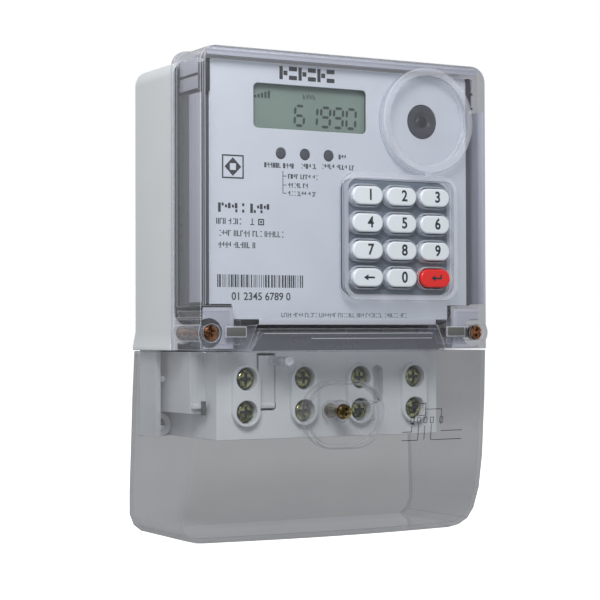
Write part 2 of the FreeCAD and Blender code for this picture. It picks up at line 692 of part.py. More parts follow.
def make_name_plate():
    """Thin printed plate with notched lower corners."""
    body = new_body("name_plate")
    windows, holes = plate_openings("0")
    outline = [
        ("-name_notch_x", "name_low"), ("name_notch_x", "name_low"), ("name_notch_x", "name_notch_z"),
        ("name_half", "name_notch_z"), ("name_half", "name_top", "2"), ("-name_half", "name_top", "2"),
        ("-name_half", "name_notch_z"), ("-name_notch_x", "name_notch_z"),
    ]
    add_front(body, "plate_front - plate_thick", "plate_front", [outline] + windows, holes)
    named(body, "name_plate")


def make_inner_frame():
    """Dark frame behind the name plate: a plate with openings and a wall round it."""
    body = new_body("inner_frame")
    windows, holes = plate_openings("0.4")
    front = "plate_front - plate_thick"
    outline = [
        ("-name_notch_x", "frame_low"), ("name_notch_x", "frame_low"), ("name_notch_x", "name_notch_z"),
        ("frame_half", "name_notch_z"), ("frame_half", "frame_top", "3"), ("-frame_half", "frame_top", "3"),
        ("-frame_half", "name_notch_z"), ("-name_notch_x", "name_notch_z"),
    ]
    add_front(body, "frame_back", front, [outline])
    wall = "frame_wall"
    inner = [
        ("-(name_notch_x - %s)" % wall, "frame_low + " + wall), ("name_notch_x - " + wall, "frame_low + " + wall),
        ("name_notch_x - " + wall, "name_notch_z + " + wall), ("frame_half - " + wall, "name_notch_z + " + wall),
        ("frame_half - " + wall, "frame_top - " + wall), ("-(frame_half - %s)" % wall, "frame_top - " + wall),
        ("-(frame_half - %s)" % wall, "name_notch_z + " + wall),
        ("-(name_notch_x - %s)" % wall, "name_notch_z + " + wall),
    ]
    cut_front(body, "frame_back", "frame_plate", [inner])
    cut_front(body, "frame_plate", front, windows, holes)
    add_front(body, "board_front + 0.1", "frame_plate + 0.2",
              circles=[(side + "(post_side + 2)", "post_upper", "post_radius") for side in SIDES])
    cut_front(body, "board_front + 0.1", "frame_plate",
              circles=[(side + "(post_side + 2)", "post_upper", "pilot_radius") for side in SIDES])
    named(body, "inner_frame")


def make_display():
    """Display glass, its frame, the light guide, the lamps and the optical eye."""
    left, right = "window_left - 2", "window_right + 2"
    low, high = "window_low - 2", "window_high + 2"
    named(box("lcd_glass", left, right, "glass_back", "glass_front", low, high), "lcd_glass")
    guide = box("lcd_backlight", left, right, "board_front + 0.6", "glass_back", low, high)
    named(guide, "lcd_backlight")
    outer = box("lcd_frame_outer", left + " - 1.8", right + " + 1.8", "board_front", "glass_front",
                low + " - 1.8", high + " + 1.8")
    inner = box("lcd_frame_inner", left + " - 0.1", right + " + 0.1", "board_front - 1", "glass_front + 1",
                low + " - 0.1", high + " + 0.1")
    named(cut_from("lcd_frame", outer, [inner]), "lcd_frame")
    lamps = [
        rod("status_lamp", "lamp_middle_x + (%d) * lamp_pitch" % step, "board_front", "plate_front - 0.1",
            "lamp_z", "lamp_radius")
        for step in (-1, 0, 1)
    ]
    named(joined("status_leds", lamps), "status_leds")
    eye = rod("optical_window", "port_x", "plate_front - 2", "plate_front + 0.1", "port_z", "eye_radius")
    named(eye, "optical_window")
    pair = [
        rod("optical_lamp", "port_x + (%.1f)" % step, "board_front", "plate_front - 2.2", "port_z", "1.5")
        for step in (-3.3, 3.3)
    ]
    named(joined("optical_pair", pair), "optical_pair")


# ---------------------------------------------------------------- boards and what they carry

def make_boards():
    """Display board, main board, the header between them and their screws."""
    body = new_body("display_board")
    upper = [(side + "(post_side + 2)", "post_upper", "pilot_radius") for side in SIDES]
    edge = rectangle("-board_half", "board_half", "name_notch_z + frame_wall + 0.5", "board_high", "3")
    add_front(body, "board_front - board_thick", "board_front", [edge], upper)
    named(body, "display_board")
    body = new_body("main_board")
    edge = rectangle("-board_half", "board_half", "board_low", "board_high", "3")
    add_front(body, "main_back", "main_back + board_thick", [edge],
              [spot + ("pilot_radius",) for spot in POSTS])
    named(body, "main_board")
    header = new_body("board_header", "-40", "main_back + board_thick", "0")
    span = "board_front - board_thick - main_back - board_thick"
    add_front(header, "0", span, [rectangle("-11", "11", "-2.6", "2.6", "0.6")])
    cut_front(header, "4", span + " - 4", [rectangle("-9.5", "9.5", "1.6", "3")])
    named(header, "board_header")
    screws = []
    front = "main_back + board_thick"
    rear = "board_front - board_thick"
    for across, height in POSTS:
        screws.append(rod("board_screw_head", across, front, front + " + 1.8", height, "2.4"))
        screws.append(rod("board_screw_shank", across, "main_back - 6", front, height, "pilot_radius - 0.02"))
    for side in SIDES:
        across = side + "(post_side + 2)"
        screws.append(rod("board_screw_head", across, rear + " - 1.8", rear, "post_upper", "2.4"))
        screws.append(rod("board_screw_shank", across, rear, "frame_plate - 0.5", "post_upper",
                          "pilot_radius - 0.02"))
    named(joined("board_screws", screws), "board_screws")


def make_power_parts():
    """Relay, shunt, transformer, capacitors, battery and buzzer on the main board."""
    front = "main_back + board_thick"
    body = new_body("latching_relay", "27", front, "-6")
    add_front(body, "0", "16", [rectangle("-19", "19", "-13", "13", "1.2")])
    cut_front(body, "15.2", "16", [rectangle("-16", "16", "-10", "10", "1")])
    named(body, "latching_relay")
    body = new_body("supply_transformer", "-36", front, "43")
    add_front(body, "3", "19", [rectangle("-15", "15", "-12.5", "12.5", "0.5")])
    cut_front(body, "3", "19", [rectangle(*edges, "-7.5", "7.5") for edges in (("-10", "-5"), ("5", "10"))])
    add_front(body, "0", "22", [rectangle("-9.4", "9.4", "-7", "7", "1")])
    named(body, "supply_transformer")
    cans = [
        rod("capacitor", across, front, "%s + %s" % (front, tall), height, radius)
        for across, height, radius, tall in (("-6", "52", "6.25", "20"), ("-6", "36", "6.25", "20"),
                                             ("8", "46", "5", "16"))
    ]
    named(joined("reservoir_capacitors", cans), "reservoir_capacitors")
    named(crossbar("backup_battery", "-52", "-27", "main_back + board_thick + 7.4", "14", "7.2"), "backup_battery")
    body = new_body("buzzer", "34", front, "40")
    add_front(body, "0", "9", circles=[("0", "0", "6")])
    cut_front(body, "7.6", "9", circles=[("0", "0", "1.2")])
    named(body, "buzzer")


# ---------------------------------------------------------------- terminals

def terminal_x(number):
    """Formula of the x of a terminal."""
    return "(%s) * terminal_pitch" % TERMINALS[number]


def screw_z(step):
    """Formula of the z of a terminal screw, step +1 for the upper one and -1 for the lower."""
    return "screw_mid_z + (%d) * screw_pitch / 2" % step


def make_terminal_block():
    """Light grey block: rear part with wings, front part, four raised pads and the lever's pocket."""
    body = new_body("terminal_block")
    rear = [
        ("-block_half", "plate_low"), ("block_half", "plate_low"), ("block_half", "wing_low"),
        ("wing_half", "wing_low"), ("wing_half", "parting - 0.4"), ("block_half", "parting - 0.4"),
        ("block_half", "block_tail"), ("-block_half", "block_tail"), ("-block_half", "parting - 0.4"),
        ("-wing_half", "parting - 0.4"), ("-wing_half", "wing_low"), ("-block_half", "wing_low"),
    ]
    add_front(body, "case_back + 0.1", "block_rear", [rear])
    add_front(body, "block_rear", "block_front", [[
        ("-block_half", "plate_low"), ("block_half", "plate_low"), ("block_half", "block_upper"),
        ("tail_half", "block_upper"), ("tail_half - 2", "block_tail"), ("-(tail_half - 2)", "block_tail"),
        ("-tail_half", "block_upper"), ("-block_half", "block_upper"),
    ]])
    pads = []
    for number in TERMINALS:
        across = terminal_x(number)
        pads.append((
            (across, "screw_mid_z - (stud_half - stud_radius)"),
            (across, "screw_mid_z + (stud_half - stud_radius)"), "stud_radius"))
    add_front(body, "block_front", "pad_face", stadiums=pads)
    holes = [(terminal_x(number), screw_z(step), "screw_hole") for number in TERMINALS for step in (-1, 1)]
    cut_front(body, "cage_front - 1", "pad_face", circles=holes)
    cages = [
        rectangle("%s - cage_half - cage_gap" % terminal_x(number), "%s + cage_half + cage_gap" % terminal_x(number),
                  "plate_low - 1", "cage_high + cage_gap")
        for number in TERMINALS
    ]
    pocket_below(body, "cage_back - cage_gap", "cage_front + cage_gap", cages)
    bars = [
        rectangle("%s - bar_half - 0.2" % terminal_x(number), "%s + bar_half + 0.2" % terminal_x(number),
                  "cage_high - 1", "block_tail + 1")
        for number in TERMINALS
    ]
    pocket_below(body, "bar_back - 0.2", "bar_back + bar_thick + 0.2", bars)
    cut_front(body, "lever_pocket", "block_front", [rectangle(
        "lever_left - lever_slot", "lever_right + 0.3", "lever_low - 0.3", "lever_top + lever_slot", "0.6")])
    cut_pivot(body)
    switch = rectangle("lever_left + 1", "lever_right + 5", "switch_z - 4.2", "switch_z + 4.2")
    pocket_below(body, "lever_pocket - 9", "lever_pocket + 0.01", [switch])
    cut_front(body, "block_front - 0.3 - insert_length - 8.5", "block_front - 0.3 - insert_length",
              circles=[("0", "mid_seal_z", "tube_bore")])
    cut_front(body, "block_front - 0.3 - insert_length", "block_front",
              circles=[("0", "mid_seal_z", "insert_outer")])
    groove = (("22.3", "-59"), ("22.3", "-48.6"), "2.6")
    cut_front(body, "block_front - 4", "block_front", stadiums=[groove])
    named(body, "terminal_block")


def pocket_below(body, near, far, outlines):
    """Hollow out the block between two depths, one outline after another."""
    for corners in outlines:
        cut_front(body, near, far, [corners])


def cut_pivot(body):
    """Bore for the tamper lever's pivot pin, along the width."""
    sketch = new_sketch(body, "YZ_Plane", "lever_right + 2")
    draw_circle(sketch, "-(block_front - lever_thick / 2 - 0.3)", "lever_pivot_z", "lever_pin + 0.05")
    finish_feature(body, "PartDesign::Pocket", sketch, "lever_right - lever_left + 4")


def make_terminals():
    """Brass terminals, each with a blind cable bore from below and two threads from the front."""
    for number in TERMINALS:
        name = "terminal_%d" % number
        across = terminal_x(number)
        cage = box(name + "_cage", "%s - cage_half" % across, "%s + cage_half" % across,
                   "cage_back", "cage_front", "cage_low", "cage_high")
        bore = upright(name + "_bore", across, "cable_depth", "cage_low - 1", "cage_low + cable_length",
                       "cable_radius")
        threads = [
            rod(name + "_thread", across, "cable_depth", "cage_front + 1", screw_z(step), "clamp_bore")
            for step in (-1, 1)
        ]
        named(cut_from(name, cage, [bore] + threads), name)


def make_fastener(name, across, seat, height, head, head_high, shank, length, slot, slot_deep):
    """A cross-recessed screw with its origin under its head, pointing into the wall."""
    body = new_body(name, across, seat, height)
    add_front(body, "0", head_high, circles=[("0", "0", head)])
    add_front(body, "-(%s)" % length, "0", circles=[("0", "0", shank)])
    reach = "%s * 0.62" % head
    half = slot
    cross = [
        (half, half), (reach, half), (reach, "-" + half), (half, "-" + half), (half, "-" + reach),
        ("-" + half, "-" + reach), ("-" + half, "-" + half), ("-" + reach, "-" + half), ("-" + reach, half),
        ("-" + half, half), ("-" + half, reach), (half, reach),
    ]
    cut_front(body, "%s - %s" % (head_high, slot_deep), head_high, [cross])
    named(body, name)


def make_screws():
    """Eight terminal screws, three seal screws and the seal screws' retaining washers."""
    for number in TERMINALS:
        for letter, step in (("a", 1), ("b", -1)):
            make_fastener(
                "terminal_screw_%d%s" % (number, letter), terminal_x(number), "clamp_seat", screw_z(step),
                "clamp_head", "clamp_head_high", "clamp_radius", "clamp_seat - clamp_tip", "0.45", "1.6")
    seals = [
        ("left", "-seal_x", "seal_seat", "seal_z", "seal_length"),
        ("right", "seal_x", "seal_seat", "seal_z", "seal_length"),
        ("middle", "0", "mid_seal_seat", "mid_seal_z", "mid_seal_length"),
    ]
    for side, across, seat, height, length in seals:
        make_fastener(
            "seal_screw_" + side, across, seat + " + washer_thick + 0.1", height, "seal_head", "1.7",
            "seal_shank", length, "0.35", "1.1")
        ring = rod("seal_ring_" + side, across, seat + " + 0.05", seat + " + 0.05 + washer_thick", height,
                   "seal_head + 0.2")
        hole = rod("seal_ring_hole_" + side, across, seat + " - 1", seat + " + 2", height, "seal_shank + 0.05")
        named(cut_from("seal_washer_" + side, ring, [hole]), "seal_washer_" + side)


def make_inserts():
    """Threaded inserts of the three seal screws."""
    inserts = []
    ends = [("-seal_x", "seam_depth - 0.5", "seal_z"), ("seal_x", "seam_depth - 0.5", "seal_z"),
            ("0", "block_front - 0.3", "mid_seal_z")]
    for across, front, height in ends:
        sleeve = rod("insert_sleeve", across, front + " - insert_length", front, height, "insert_outer")
        hole = rod("insert_hole", across, front + " - insert_length - 1", front + " + 1", height, "seal_bore")
        inserts.append(cut_from("insert", sleeve, [hole]))
    named(joined("screw_inserts", inserts), "screw_inserts")


def make_busbars():
    """Copper bars from terminals 2 to 4 up to the relay, and the shunt from terminal 1."""
    bars = [
        box("busbar", "%s - bar_half" % terminal_x(number), "%s + bar_half" % terminal_x(number),
            "bar_back", "bar_back + bar_thick", "cage_high", "bar_top")
        for number in (2, 3, 4)
    ]
    named(joined("busbars", bars), "busbars")
    body = new_body("current_shunt", terminal_x(1), "bar_back", "cage_high")
    rise = "bar_top - cage_high"
    add_front(body, "0", "bar_thick", [[
        ("-bar_half", "0"), ("bar_half", "0"), ("bar_half", rise), ("bar_half + 13", rise),
        ("bar_half + 13", rise + " + 6"), ("-bar_half", rise + " + 6"),
    ]])
    cut_front(body, "0", "bar_thick", circles=[("bar_half + 9", rise + " + 3", "1.6")])
    named(body, "current_shunt")


# ---------------------------------------------------------------- tamper lever and switch

def make_tamper_parts():
    """The lever on its pivot pin, the micro switch under it and the switch's plunger."""
    middle = "block_front - lever_thick / 2 - 0.3"
    plate = box("lever_plate", "lever_left", "lever_right", "block_front - lever_thick - 0.3", "block_front - 0.3",
                "lever_low + 0.8", "lever_top")
    knuckle = crossbar("lever_knuckle", "lever_left", "lever_right", middle, "lever_pivot_z", "1.3")
    pin = crossbar("lever_pin", "lever_left - 1.8", "lever_right + 1.6", middle, "lever_pivot_z", "lever_pin")
    named(joined("tamper_lever", [plate, knuckle, pin]), "tamper_lever")
    left, right = "lever_left + 1.2", "lever_right + 4.8"
    case = box("switch_case", left, right, "lever_pocket - 8.8", "lever_pocket - 0.2",
               "switch_z - 4", "switch_z + 4")
    bore = rod("switch_bore", "lever_left + 3.5", "lever_pocket - 3", "lever_pocket + 1", "switch_z", "1.05")
    named(cut_from("switch_body", case, [bore]), "switch_body")
    plunger = rod("switch_plunger", "lever_left + 3.5", "lever_pocket - 1.2",
                  "block_front - lever_thick - 0.4", "switch_z", "1")
    named(plunger, "switch_plunger")


# ---------------------------------------------------------------- terminal cover and lug

def draw_skirt_section(sketch, half, reach, bow, radius, back):
    """Plan outline of the terminal cover: straight back and sides, round corners, bowed front."""
    wide, deep, out, turn, rear = (value(formula) for formula in (half, reach, bow, radius, back))
    chord = wide - turn
    arc_radius = (chord ** 2 + out ** 2) / (2 * out)
    spread = math.asin(chord / arc_radius)
    up = Vector(0, 0, 1)
    down = 1.5 * math.pi
    left = sketch.addGeometry(Part.LineSegment(Vector(-wide, -rear, 0), Vector(-wide, -(deep - turn), 0)), False)
    left_arc = sketch.addGeometry(Part.ArcOfCircle(
        Part.Circle(Vector(-chord, -(deep - turn), 0), up, turn), math.pi, down), False)
    front = sketch.addGeometry(Part.ArcOfCircle(
        Part.Circle(Vector(0, -deep - out + arc_radius, 0), up, arc_radius), down - spread, down + spread), False)
    right_arc = sketch.addGeometry(Part.ArcOfCircle(
        Part.Circle(Vector(chord, -(deep - turn), 0), up, turn), down, 2 * math.pi), False)
    right = sketch.addGeometry(Part.LineSegment(Vector(wide, -(deep - turn), 0), Vector(wide, -rear, 0)), False)
    closing = sketch.addGeometry(Part.LineSegment(Vector(wide, -rear, 0), Vector(-wide, -rear, 0)), False)
    chain = [(left, 2, 1), (left_arc, 2, 1), (front, 2, 1), (right_arc, 2, 1), (right, 2, 1), (closing, 2, 1)]
    for index, (geometry, leave, entry) in enumerate(chain):
        after = chain[(index + 1) % len(chain)][0]
        sketch.addConstraint(Sketcher.Constraint("Coincident", geometry, leave, after, entry))
    edge = "-((%s) - (%s))" % (reach, radius)
    chord_formula = "((%s) - (%s))" % (half, radius)
    fix_point(sketch, left, 1, "-(%s)" % half, "-(%s)" % back)
    fix_point(sketch, left, 2, "-(%s)" % half, edge)
    fix_point(sketch, right, 1, half, edge)
    fix_point(sketch, right, 2, half, "-(%s)" % back)
    fix_point(sketch, front, 1, "-" + chord_formula, "-(%s)" % reach)
    fix_point(sketch, front, 2, chord_formula, "-(%s)" % reach)
    fix_radius(sketch, left_arc, radius)
    fix_radius(sketch, right_arc, radius)
    fix_radius(sketch, front, "(%s^2 + (%s)^2) / (2 * (%s))" % (chord_formula, bow, bow))


def add_loft(body, kind, sections):
    """A straight-sided loft through horizontal sections given as height and section sizes."""
    sketches = []
    for height, half, reach, bow, radius, back in sections:
        sketch = new_sketch(body, "XY_Plane", height)
        draw_skirt_section(sketch, half, reach, bow, radius, back)
        sketches.append(sketch)
    doc.recompute()
    before = body.Shape.Volume if body.Tip else 0.0
    loft = body.newObject(kind, body.Name + "_loft")
    loft.Profile = sketches[0]
    loft.Sections = sketches[1:]
    loft.Ruled = True
    doc.recompute()
    change = body.Shape.Volume - before
    if (change < 0) == kind.startswith("PartDesign::Additive"):
        raise RuntimeError("no change by " + loft.Name)


def make_terminal_cover():
    """Clear hollow cover: open back, raised tongue, seal recess with its tube, tamper pin."""
    body = new_body("terminal_cover")
    outer = []
    inner = []
    letters = "abcdefgh"
    for letter in letters:
        height, half, reach, bow = ("skirt_%s_%s" % (name, letter) for name in SKIRT_NAMES)
        outer.append((height, half, reach, bow, "skirt_round", "skirt_back"))
        if letter == letters[0]:
            height = height + " + 1"
        elif letter == letters[-1]:
            height = height + " + skirt_wall"
        elif letter in letters[-3:]:
            height = height + " + skirt_wall / 2"
        inner.append((height, half + " - skirt_wall", reach + " - skirt_wall", bow,
                      "skirt_round - skirt_wall", "-2"))
    add_loft(body, "PartDesign::AdditiveLoft", outer)
    add_loft(body, "PartDesign::SubtractiveLoft", inner)
    tongue = [
        ("-tongue_low_half", "parting - 0.6"), ("tongue_low_half", "parting - 0.6"),
        ("tongue_top_half", "tongue_top"), ("-tongue_top_half", "tongue_top"),
    ]
    hollow = [
        ("-(tongue_low_half - tongue_wall)", "parting - 0.8"), ("tongue_low_half - tongue_wall", "parting - 0.8"),
        ("tongue_top_half - tongue_wall", "tongue_top - tongue_wall"),
        ("-(tongue_top_half - tongue_wall)", "tongue_top - tongue_wall"),
    ]
    add_front(body, "block_front + 1.5", "cover_depth + 1", [tongue])
    cut_front(body, "block_front + 1.5", "cover_depth - 0.8", [hollow])
    # Seal recess: a thicker oval inside, the recess, the screw tube and the bars for the seal wire.
    ends = (("oval_x - oval_half", "oval_z"), ("oval_x + oval_half", "oval_z"))
    add_front(body, "mid_seal_seat - 1.8", "oval_lip", stadiums=[ends + ("oval_radius + 1.6",)])
    cut_front(body, "mid_seal_seat", "cover_depth + 1", stadiums=[ends + ("oval_radius",)])
    tube = ("0", "mid_seal_z")
    add_front(body, "block_front + 0.4", "mid_seal_seat", circles=[tube + ("tube_outer",)])
    cut_front(body, "block_front + 0.4", "mid_seal_seat", circles=[tube + ("tube_bore",)])
    for low in ("wire_upper", "wire_lower"):
        add_front(body, "mid_seal_seat - 0.1", "mid_seal_seat + wire_rise",
                  [rectangle("wire_left", "wire_right", low, low + " + wire_thick")])
    add_front(body, "tamper_tip", "cover_depth - 1", circles=[("tamper_x", "tamper_z", "tamper_radius")])
    named(body, "terminal_cover")


def make_hanging_lug():
    """Flat lug with a stepped section and a hole, sliding in the back wall."""
    body = new_body("hanging_lug", "0", "0", "lug_low")
    tall = "lug_high - lug_low"
    add_front(body, "lug_step", "lug_inner", [rectangle("-lug_half", "lug_half", "0", tall)])
    add_front(body, "lug_outer", "lug_step", [rectangle("-lug_neck", "lug_neck", "0", tall)])
    cut_front(body, "lug_outer", "lug_inner", circles=[("0", "lug_hole_z - lug_low", "lug_hole")])
    named(body, "hanging_lug")


# ---------------------------------------------------------------- build, check and write

for make in (
    make_base_case, make_cover_gasket, make_main_cover, make_keys, make_keypad_mat, make_name_plate,
    make_inner_frame, make_display, make_boards, make_power_parts, make_terminal_block, make_terminals,
    make_screws, make_inserts, make_busbars, make_tamper_parts, make_terminal_cover, make_hanging_lug,
):
    make()
doc.recompute()

for item in doc.Objects:
    if "Invalid" in item.State or "Error" in item.State:
        raise RuntimeError("failed object: " + item.Name)
for label, target in SUBPARTS.items():
    if target.Shape.isNull() or not target.Shape.isValid():
        raise RuntimeError("bad shape: " + label)

os.makedirs("parts", exist_ok=True)
for label, target in SUBPARTS.items():
    target.Shape.exportStep("parts/%s.step" % label)
print("sub-parts:", len(SUBPARTS))
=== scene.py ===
import math
import random

import bpy
from mathutils import Matrix, Vector


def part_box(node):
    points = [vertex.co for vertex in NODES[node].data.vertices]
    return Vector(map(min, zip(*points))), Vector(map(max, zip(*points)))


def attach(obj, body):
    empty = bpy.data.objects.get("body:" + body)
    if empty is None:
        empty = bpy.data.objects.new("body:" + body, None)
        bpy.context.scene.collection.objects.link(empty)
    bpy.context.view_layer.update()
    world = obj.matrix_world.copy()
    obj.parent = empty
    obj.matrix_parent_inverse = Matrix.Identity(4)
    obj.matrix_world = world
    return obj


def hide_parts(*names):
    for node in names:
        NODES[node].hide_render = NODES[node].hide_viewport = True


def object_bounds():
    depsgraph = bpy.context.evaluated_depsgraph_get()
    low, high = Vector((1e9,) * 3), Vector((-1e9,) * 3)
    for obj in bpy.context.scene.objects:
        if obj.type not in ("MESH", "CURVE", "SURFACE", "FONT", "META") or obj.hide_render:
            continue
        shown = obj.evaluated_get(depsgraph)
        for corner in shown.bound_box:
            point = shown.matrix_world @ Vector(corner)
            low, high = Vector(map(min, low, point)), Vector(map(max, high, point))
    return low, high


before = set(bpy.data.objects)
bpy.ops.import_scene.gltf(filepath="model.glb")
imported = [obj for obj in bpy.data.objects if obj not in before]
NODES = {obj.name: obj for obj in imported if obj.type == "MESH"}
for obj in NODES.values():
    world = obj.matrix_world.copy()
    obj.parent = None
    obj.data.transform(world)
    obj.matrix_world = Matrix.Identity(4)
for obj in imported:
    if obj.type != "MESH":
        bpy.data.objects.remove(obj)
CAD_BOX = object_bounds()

# Lengths are in millimetres where a value is multiplied by MM. A depth is counted forward from the wall.
MM = 0.001
METER = "meter"
LID = "terminal_lid"

# The camera's lens and sensor in millimetres, its place in metres and its three angles in degrees.
CAMERA_LENS = 105.04
CAMERA_SENSOR = 36.0
CAMERA_PLACE = (-0.3515, -0.6576, -0.0330)
CAMERA_TURN = -28.92
CAMERA_TILT = 91.1
CAMERA_ROLL = -0.16

# The soft boxes: name, place and target in metres, size in metres, power in watts and colour.
SOFT_BOXES = [
    ("key_light", (-0.25, -0.40, 0.31), (-0.03, -0.05, 0.02), (0.22, 0.22), 2.6, (1.0, 0.995, 0.98)),
    ("side_light", (-0.95, 0.05, 0.30), (0.0, -0.03, 0.0), (0.4, 0.6), 0.5, (0.97, 0.98, 1.0)),
    ("rim_light", (0.45, 0.55, 0.70), (0.0, 0.0, 0.05), (0.6, 0.4), 3.0, (1.0, 1.0, 1.0)),
]

# The floor's side, its gap under the meter, and the strengths of its glow bare and under a cover.
FLOOR_SIZE = 12.0
FLOOR_GAP = 0.0002
FLOOR_GLOW = 0.75
FLOOR_GLOW_COVERED = 0.215

# The strength of the surroundings as the covers show and gather them.
GATHERED_STRENGTH = 0.42


# ---------------------------------------------------------------- camera, studio

def make_camera():
    """The three-quarter view from the lower left, level with the keys."""
    lens = bpy.data.cameras.new("camera")
    lens.lens = CAMERA_LENS
    lens.sensor_width = CAMERA_SENSOR
    camera = bpy.data.objects.new("camera", lens)
    bpy.context.scene.collection.objects.link(camera)
    around = Matrix.Rotation(math.radians(CAMERA_TURN), 4, "Z")
    raised = Matrix.Rotation(math.radians(CAMERA_TILT), 4, "X")
    rolled = Matrix.Rotation(math.radians(CAMERA_ROLL), 4, "Z")
    place = Matrix.Translation(CAMERA_PLACE)
    camera.matrix_world = place @ around @ raised @ rolled
    bpy.context.scene.camera = camera


def area_light(name, place, target, size, power, colour):
    """A soft box at a place, turned to a target."""
    data = bpy.data.lights.new(name, "AREA")
    data.shape = "RECTANGLE"
    data.size, data.size_y = size
    data.energy = power
    data.color = colour
    light = bpy.data.objects.new(name, data)
    bpy.context.scene.collection.objects.link(light)
    light.location = place
    light.rotation_euler = (Vector(target) - Vector(place)).to_track_quat("-Z", "Y").to_euler()


def directly_seen(tree):
    """1 where the camera looks straight at it, and 0 through a clear cover or for gathered light."""
    path = add_node(tree, "ShaderNodeLightPath")
    uncovered = add_node(tree, "ShaderNodeMath", {1: 0.5}, operation="LESS_THAN")
    both = add_node(tree, "ShaderNodeMath", operation="MULTIPLY")
    tree.links.new(path.outputs["Transparent Depth"], uncovered.inputs[0])
    tree.links.new(path.outputs["Is Camera Ray"], both.inputs[0])
    tree.links.new(uncovered.outputs[0], both.inputs[1])
    return both.outputs[0]


def make_studio():
    """White surroundings, dimmer where the covers show or gather them, and the soft boxes."""
    scene = bpy.context.scene
    world = bpy.data.worlds.new("studio")
    world.use_nodes = True
    tree = world.node_tree
    tree.nodes.clear()
    seen = add_node(tree, "ShaderNodeBackground", {"Color": (1.0, 1.0, 1.0, 1.0), "Strength": 1.0})
    gathered = add_node(tree, "ShaderNodeBackground", {
        "Color": (0.96, 0.98, 1.0, 1.0), "Strength": GATHERED_STRENGTH})
    mixed = add_node(tree, "ShaderNodeMixShader")
    output = add_node(tree, "ShaderNodeOutputWorld")
    tree.links.new(directly_seen(tree), mixed.inputs["Fac"])
    tree.links.new(gathered.outputs[0], mixed.inputs[1])
    tree.links.new(seen.outputs[0], mixed.inputs[2])
    tree.links.new(mixed.outputs[0], output.inputs["Surface"])
    scene.world = world
    scene.view_settings.view_transform = "Standard"
    scene.cycles.max_bounces = 16
    scene.cycles.transparent_max_bounces = 32
    for box in SOFT_BOXES:
        area_light(*box)


def make_floor():
    """A plain pale floor at the lowest point of the meter."""
    deselect_all()
    low = CAD_BOX[0][2]
    bpy.ops.mesh.primitive_plane_add(size=FLOOR_SIZE, location=(0.0, 0.0, low - FLOOR_GAP))
    floor = bpy.context.object
    floor.name = "floor"
    paint, tree, output = new_material("floor_paint")
    speckle = noise(tree, 3.0, 3.0)
    tone = ramp(tree, speckle, (0.16, 0.165, 0.17), (0.18, 0.18, 0.18))
    matt = add_node(tree, "ShaderNodeBsdfDiffuse", {"Roughness": 0.9})
    lit = add_node(tree, "ShaderNodeBsdfDiffuse", {"Color": (0.9, 0.9, 0.9, 1.0)})
    glow = add_node(tree, "ShaderNodeEmission", {"Color": (1.0, 1.0, 1.0, 1.0), "Strength": FLOOR_GLOW})
    bright = add_node(tree, "ShaderNodeAddShader")
    fill = add_node(tree, "ShaderNodeEmission", {
        "Color": (0.97, 0.985, 1.0, 1.0), "Strength": FLOOR_GLOW_COVERED})
    even = add_node(tree, "ShaderNodeAddShader")
    mixed = add_node(tree, "ShaderNodeMixShader")
    tree.links.new(tone, matt.inputs["Color"])
    tree.links.new(lit.outputs[0], bright.inputs[0])
    tree.links.new(glow.outputs[0], bright.inputs[1])
    tree.links.new(directly_seen(tree), mixed.inputs["Fac"])
    tree.links.new(matt.outputs[0], even.inputs[0])
    tree.links.new(fill.outputs[0], even.inputs[1])
    tree.links.new(even.outputs[0], mixed.inputs[1])
    tree.links.new(bright.outputs[0], mixed.inputs[2])
    tree.links.new(mixed.outputs[0], output.inputs["Surface"])
    floor.data.materials.append(paint)


# ---------------------------------------------------------------- finishes

# Clear plastic, by how far a face turns away from the eye, 0 to 1: where its haze starts, where its milk
# darkens and to what share, and its gloss from square on to grazing.
HAZE_START = 0.46
EDGE_SPAN = (0.72, 0.97)
EDGE_SHADE = 0.42
GLOSS_SQUARE, GLOSS_GRAZING = 0.035, 0.55
GLOSS_POWER = 4.0


def add_node(tree, kind, sockets=None, **settings):
    """A shader node with its sockets and settings filled in."""
    node = tree.nodes.new(kind)
    for key, value in settings.items():
        setattr(node, key, value)
    for key, value in (sockets or {}).items():
        node.inputs[key].default_value = value
    return node


def new_material(name):
    """An empty node material with its output."""
    paint = bpy.data.materials.new(name)
    paint.use_nodes = True
    paint.node_tree.nodes.clear()
    output = add_node(paint.node_tree, "ShaderNodeOutputMaterial")
    return paint, paint.node_tree, output


def object_place(tree, stretch=(1.0, 1.0, 1.0)):
    """Object coordinates, stretched along the axes."""
    place = add_node(tree, "ShaderNodeTexCoord")
    mapping = add_node(tree, "ShaderNodeMapping", {"Scale": stretch})
    tree.links.new(place.outputs["Object"], mapping.inputs["Vector"])
    return mapping.outputs["Vector"]


def noise(tree, scale, detail, stretch=(1.0, 1.0, 1.0)):
    """A noise pattern, scale in features to a metre."""
    pattern = add_node(tree, "ShaderNodeTexNoise", {"Scale": scale, "Detail": detail, "Roughness": 0.6})
    tree.links.new(object_place(tree, stretch), pattern.inputs["Vector"])
    return pattern.outputs["Fac"]


def ramp(tree, source, dark, light, low=0.35, high=0.65):
    """Two tones spread by a pattern."""
    tones = add_node(tree, "ShaderNodeValToRGB")
    tones.color_ramp.elements[0].position = low
    tones.color_ramp.elements[1].position = high
    tones.color_ramp.elements[0].color = (*dark, 1.0)
    tones.color_ramp.elements[1].color = (*light, 1.0)
    tree.links.new(source, tones.inputs["Fac"])
    return tones.outputs["Color"]


def span(tree, source, low, high):
    """A pattern's middle range brought to a range of values."""
    fitted = add_node(tree, "ShaderNodeMapRange", {
        "From Min": 0.3, "From Max": 0.7, "To Min": low, "To Max": high})
    tree.links.new(source, fitted.inputs["Value"])
    return fitted.outputs["Result"]


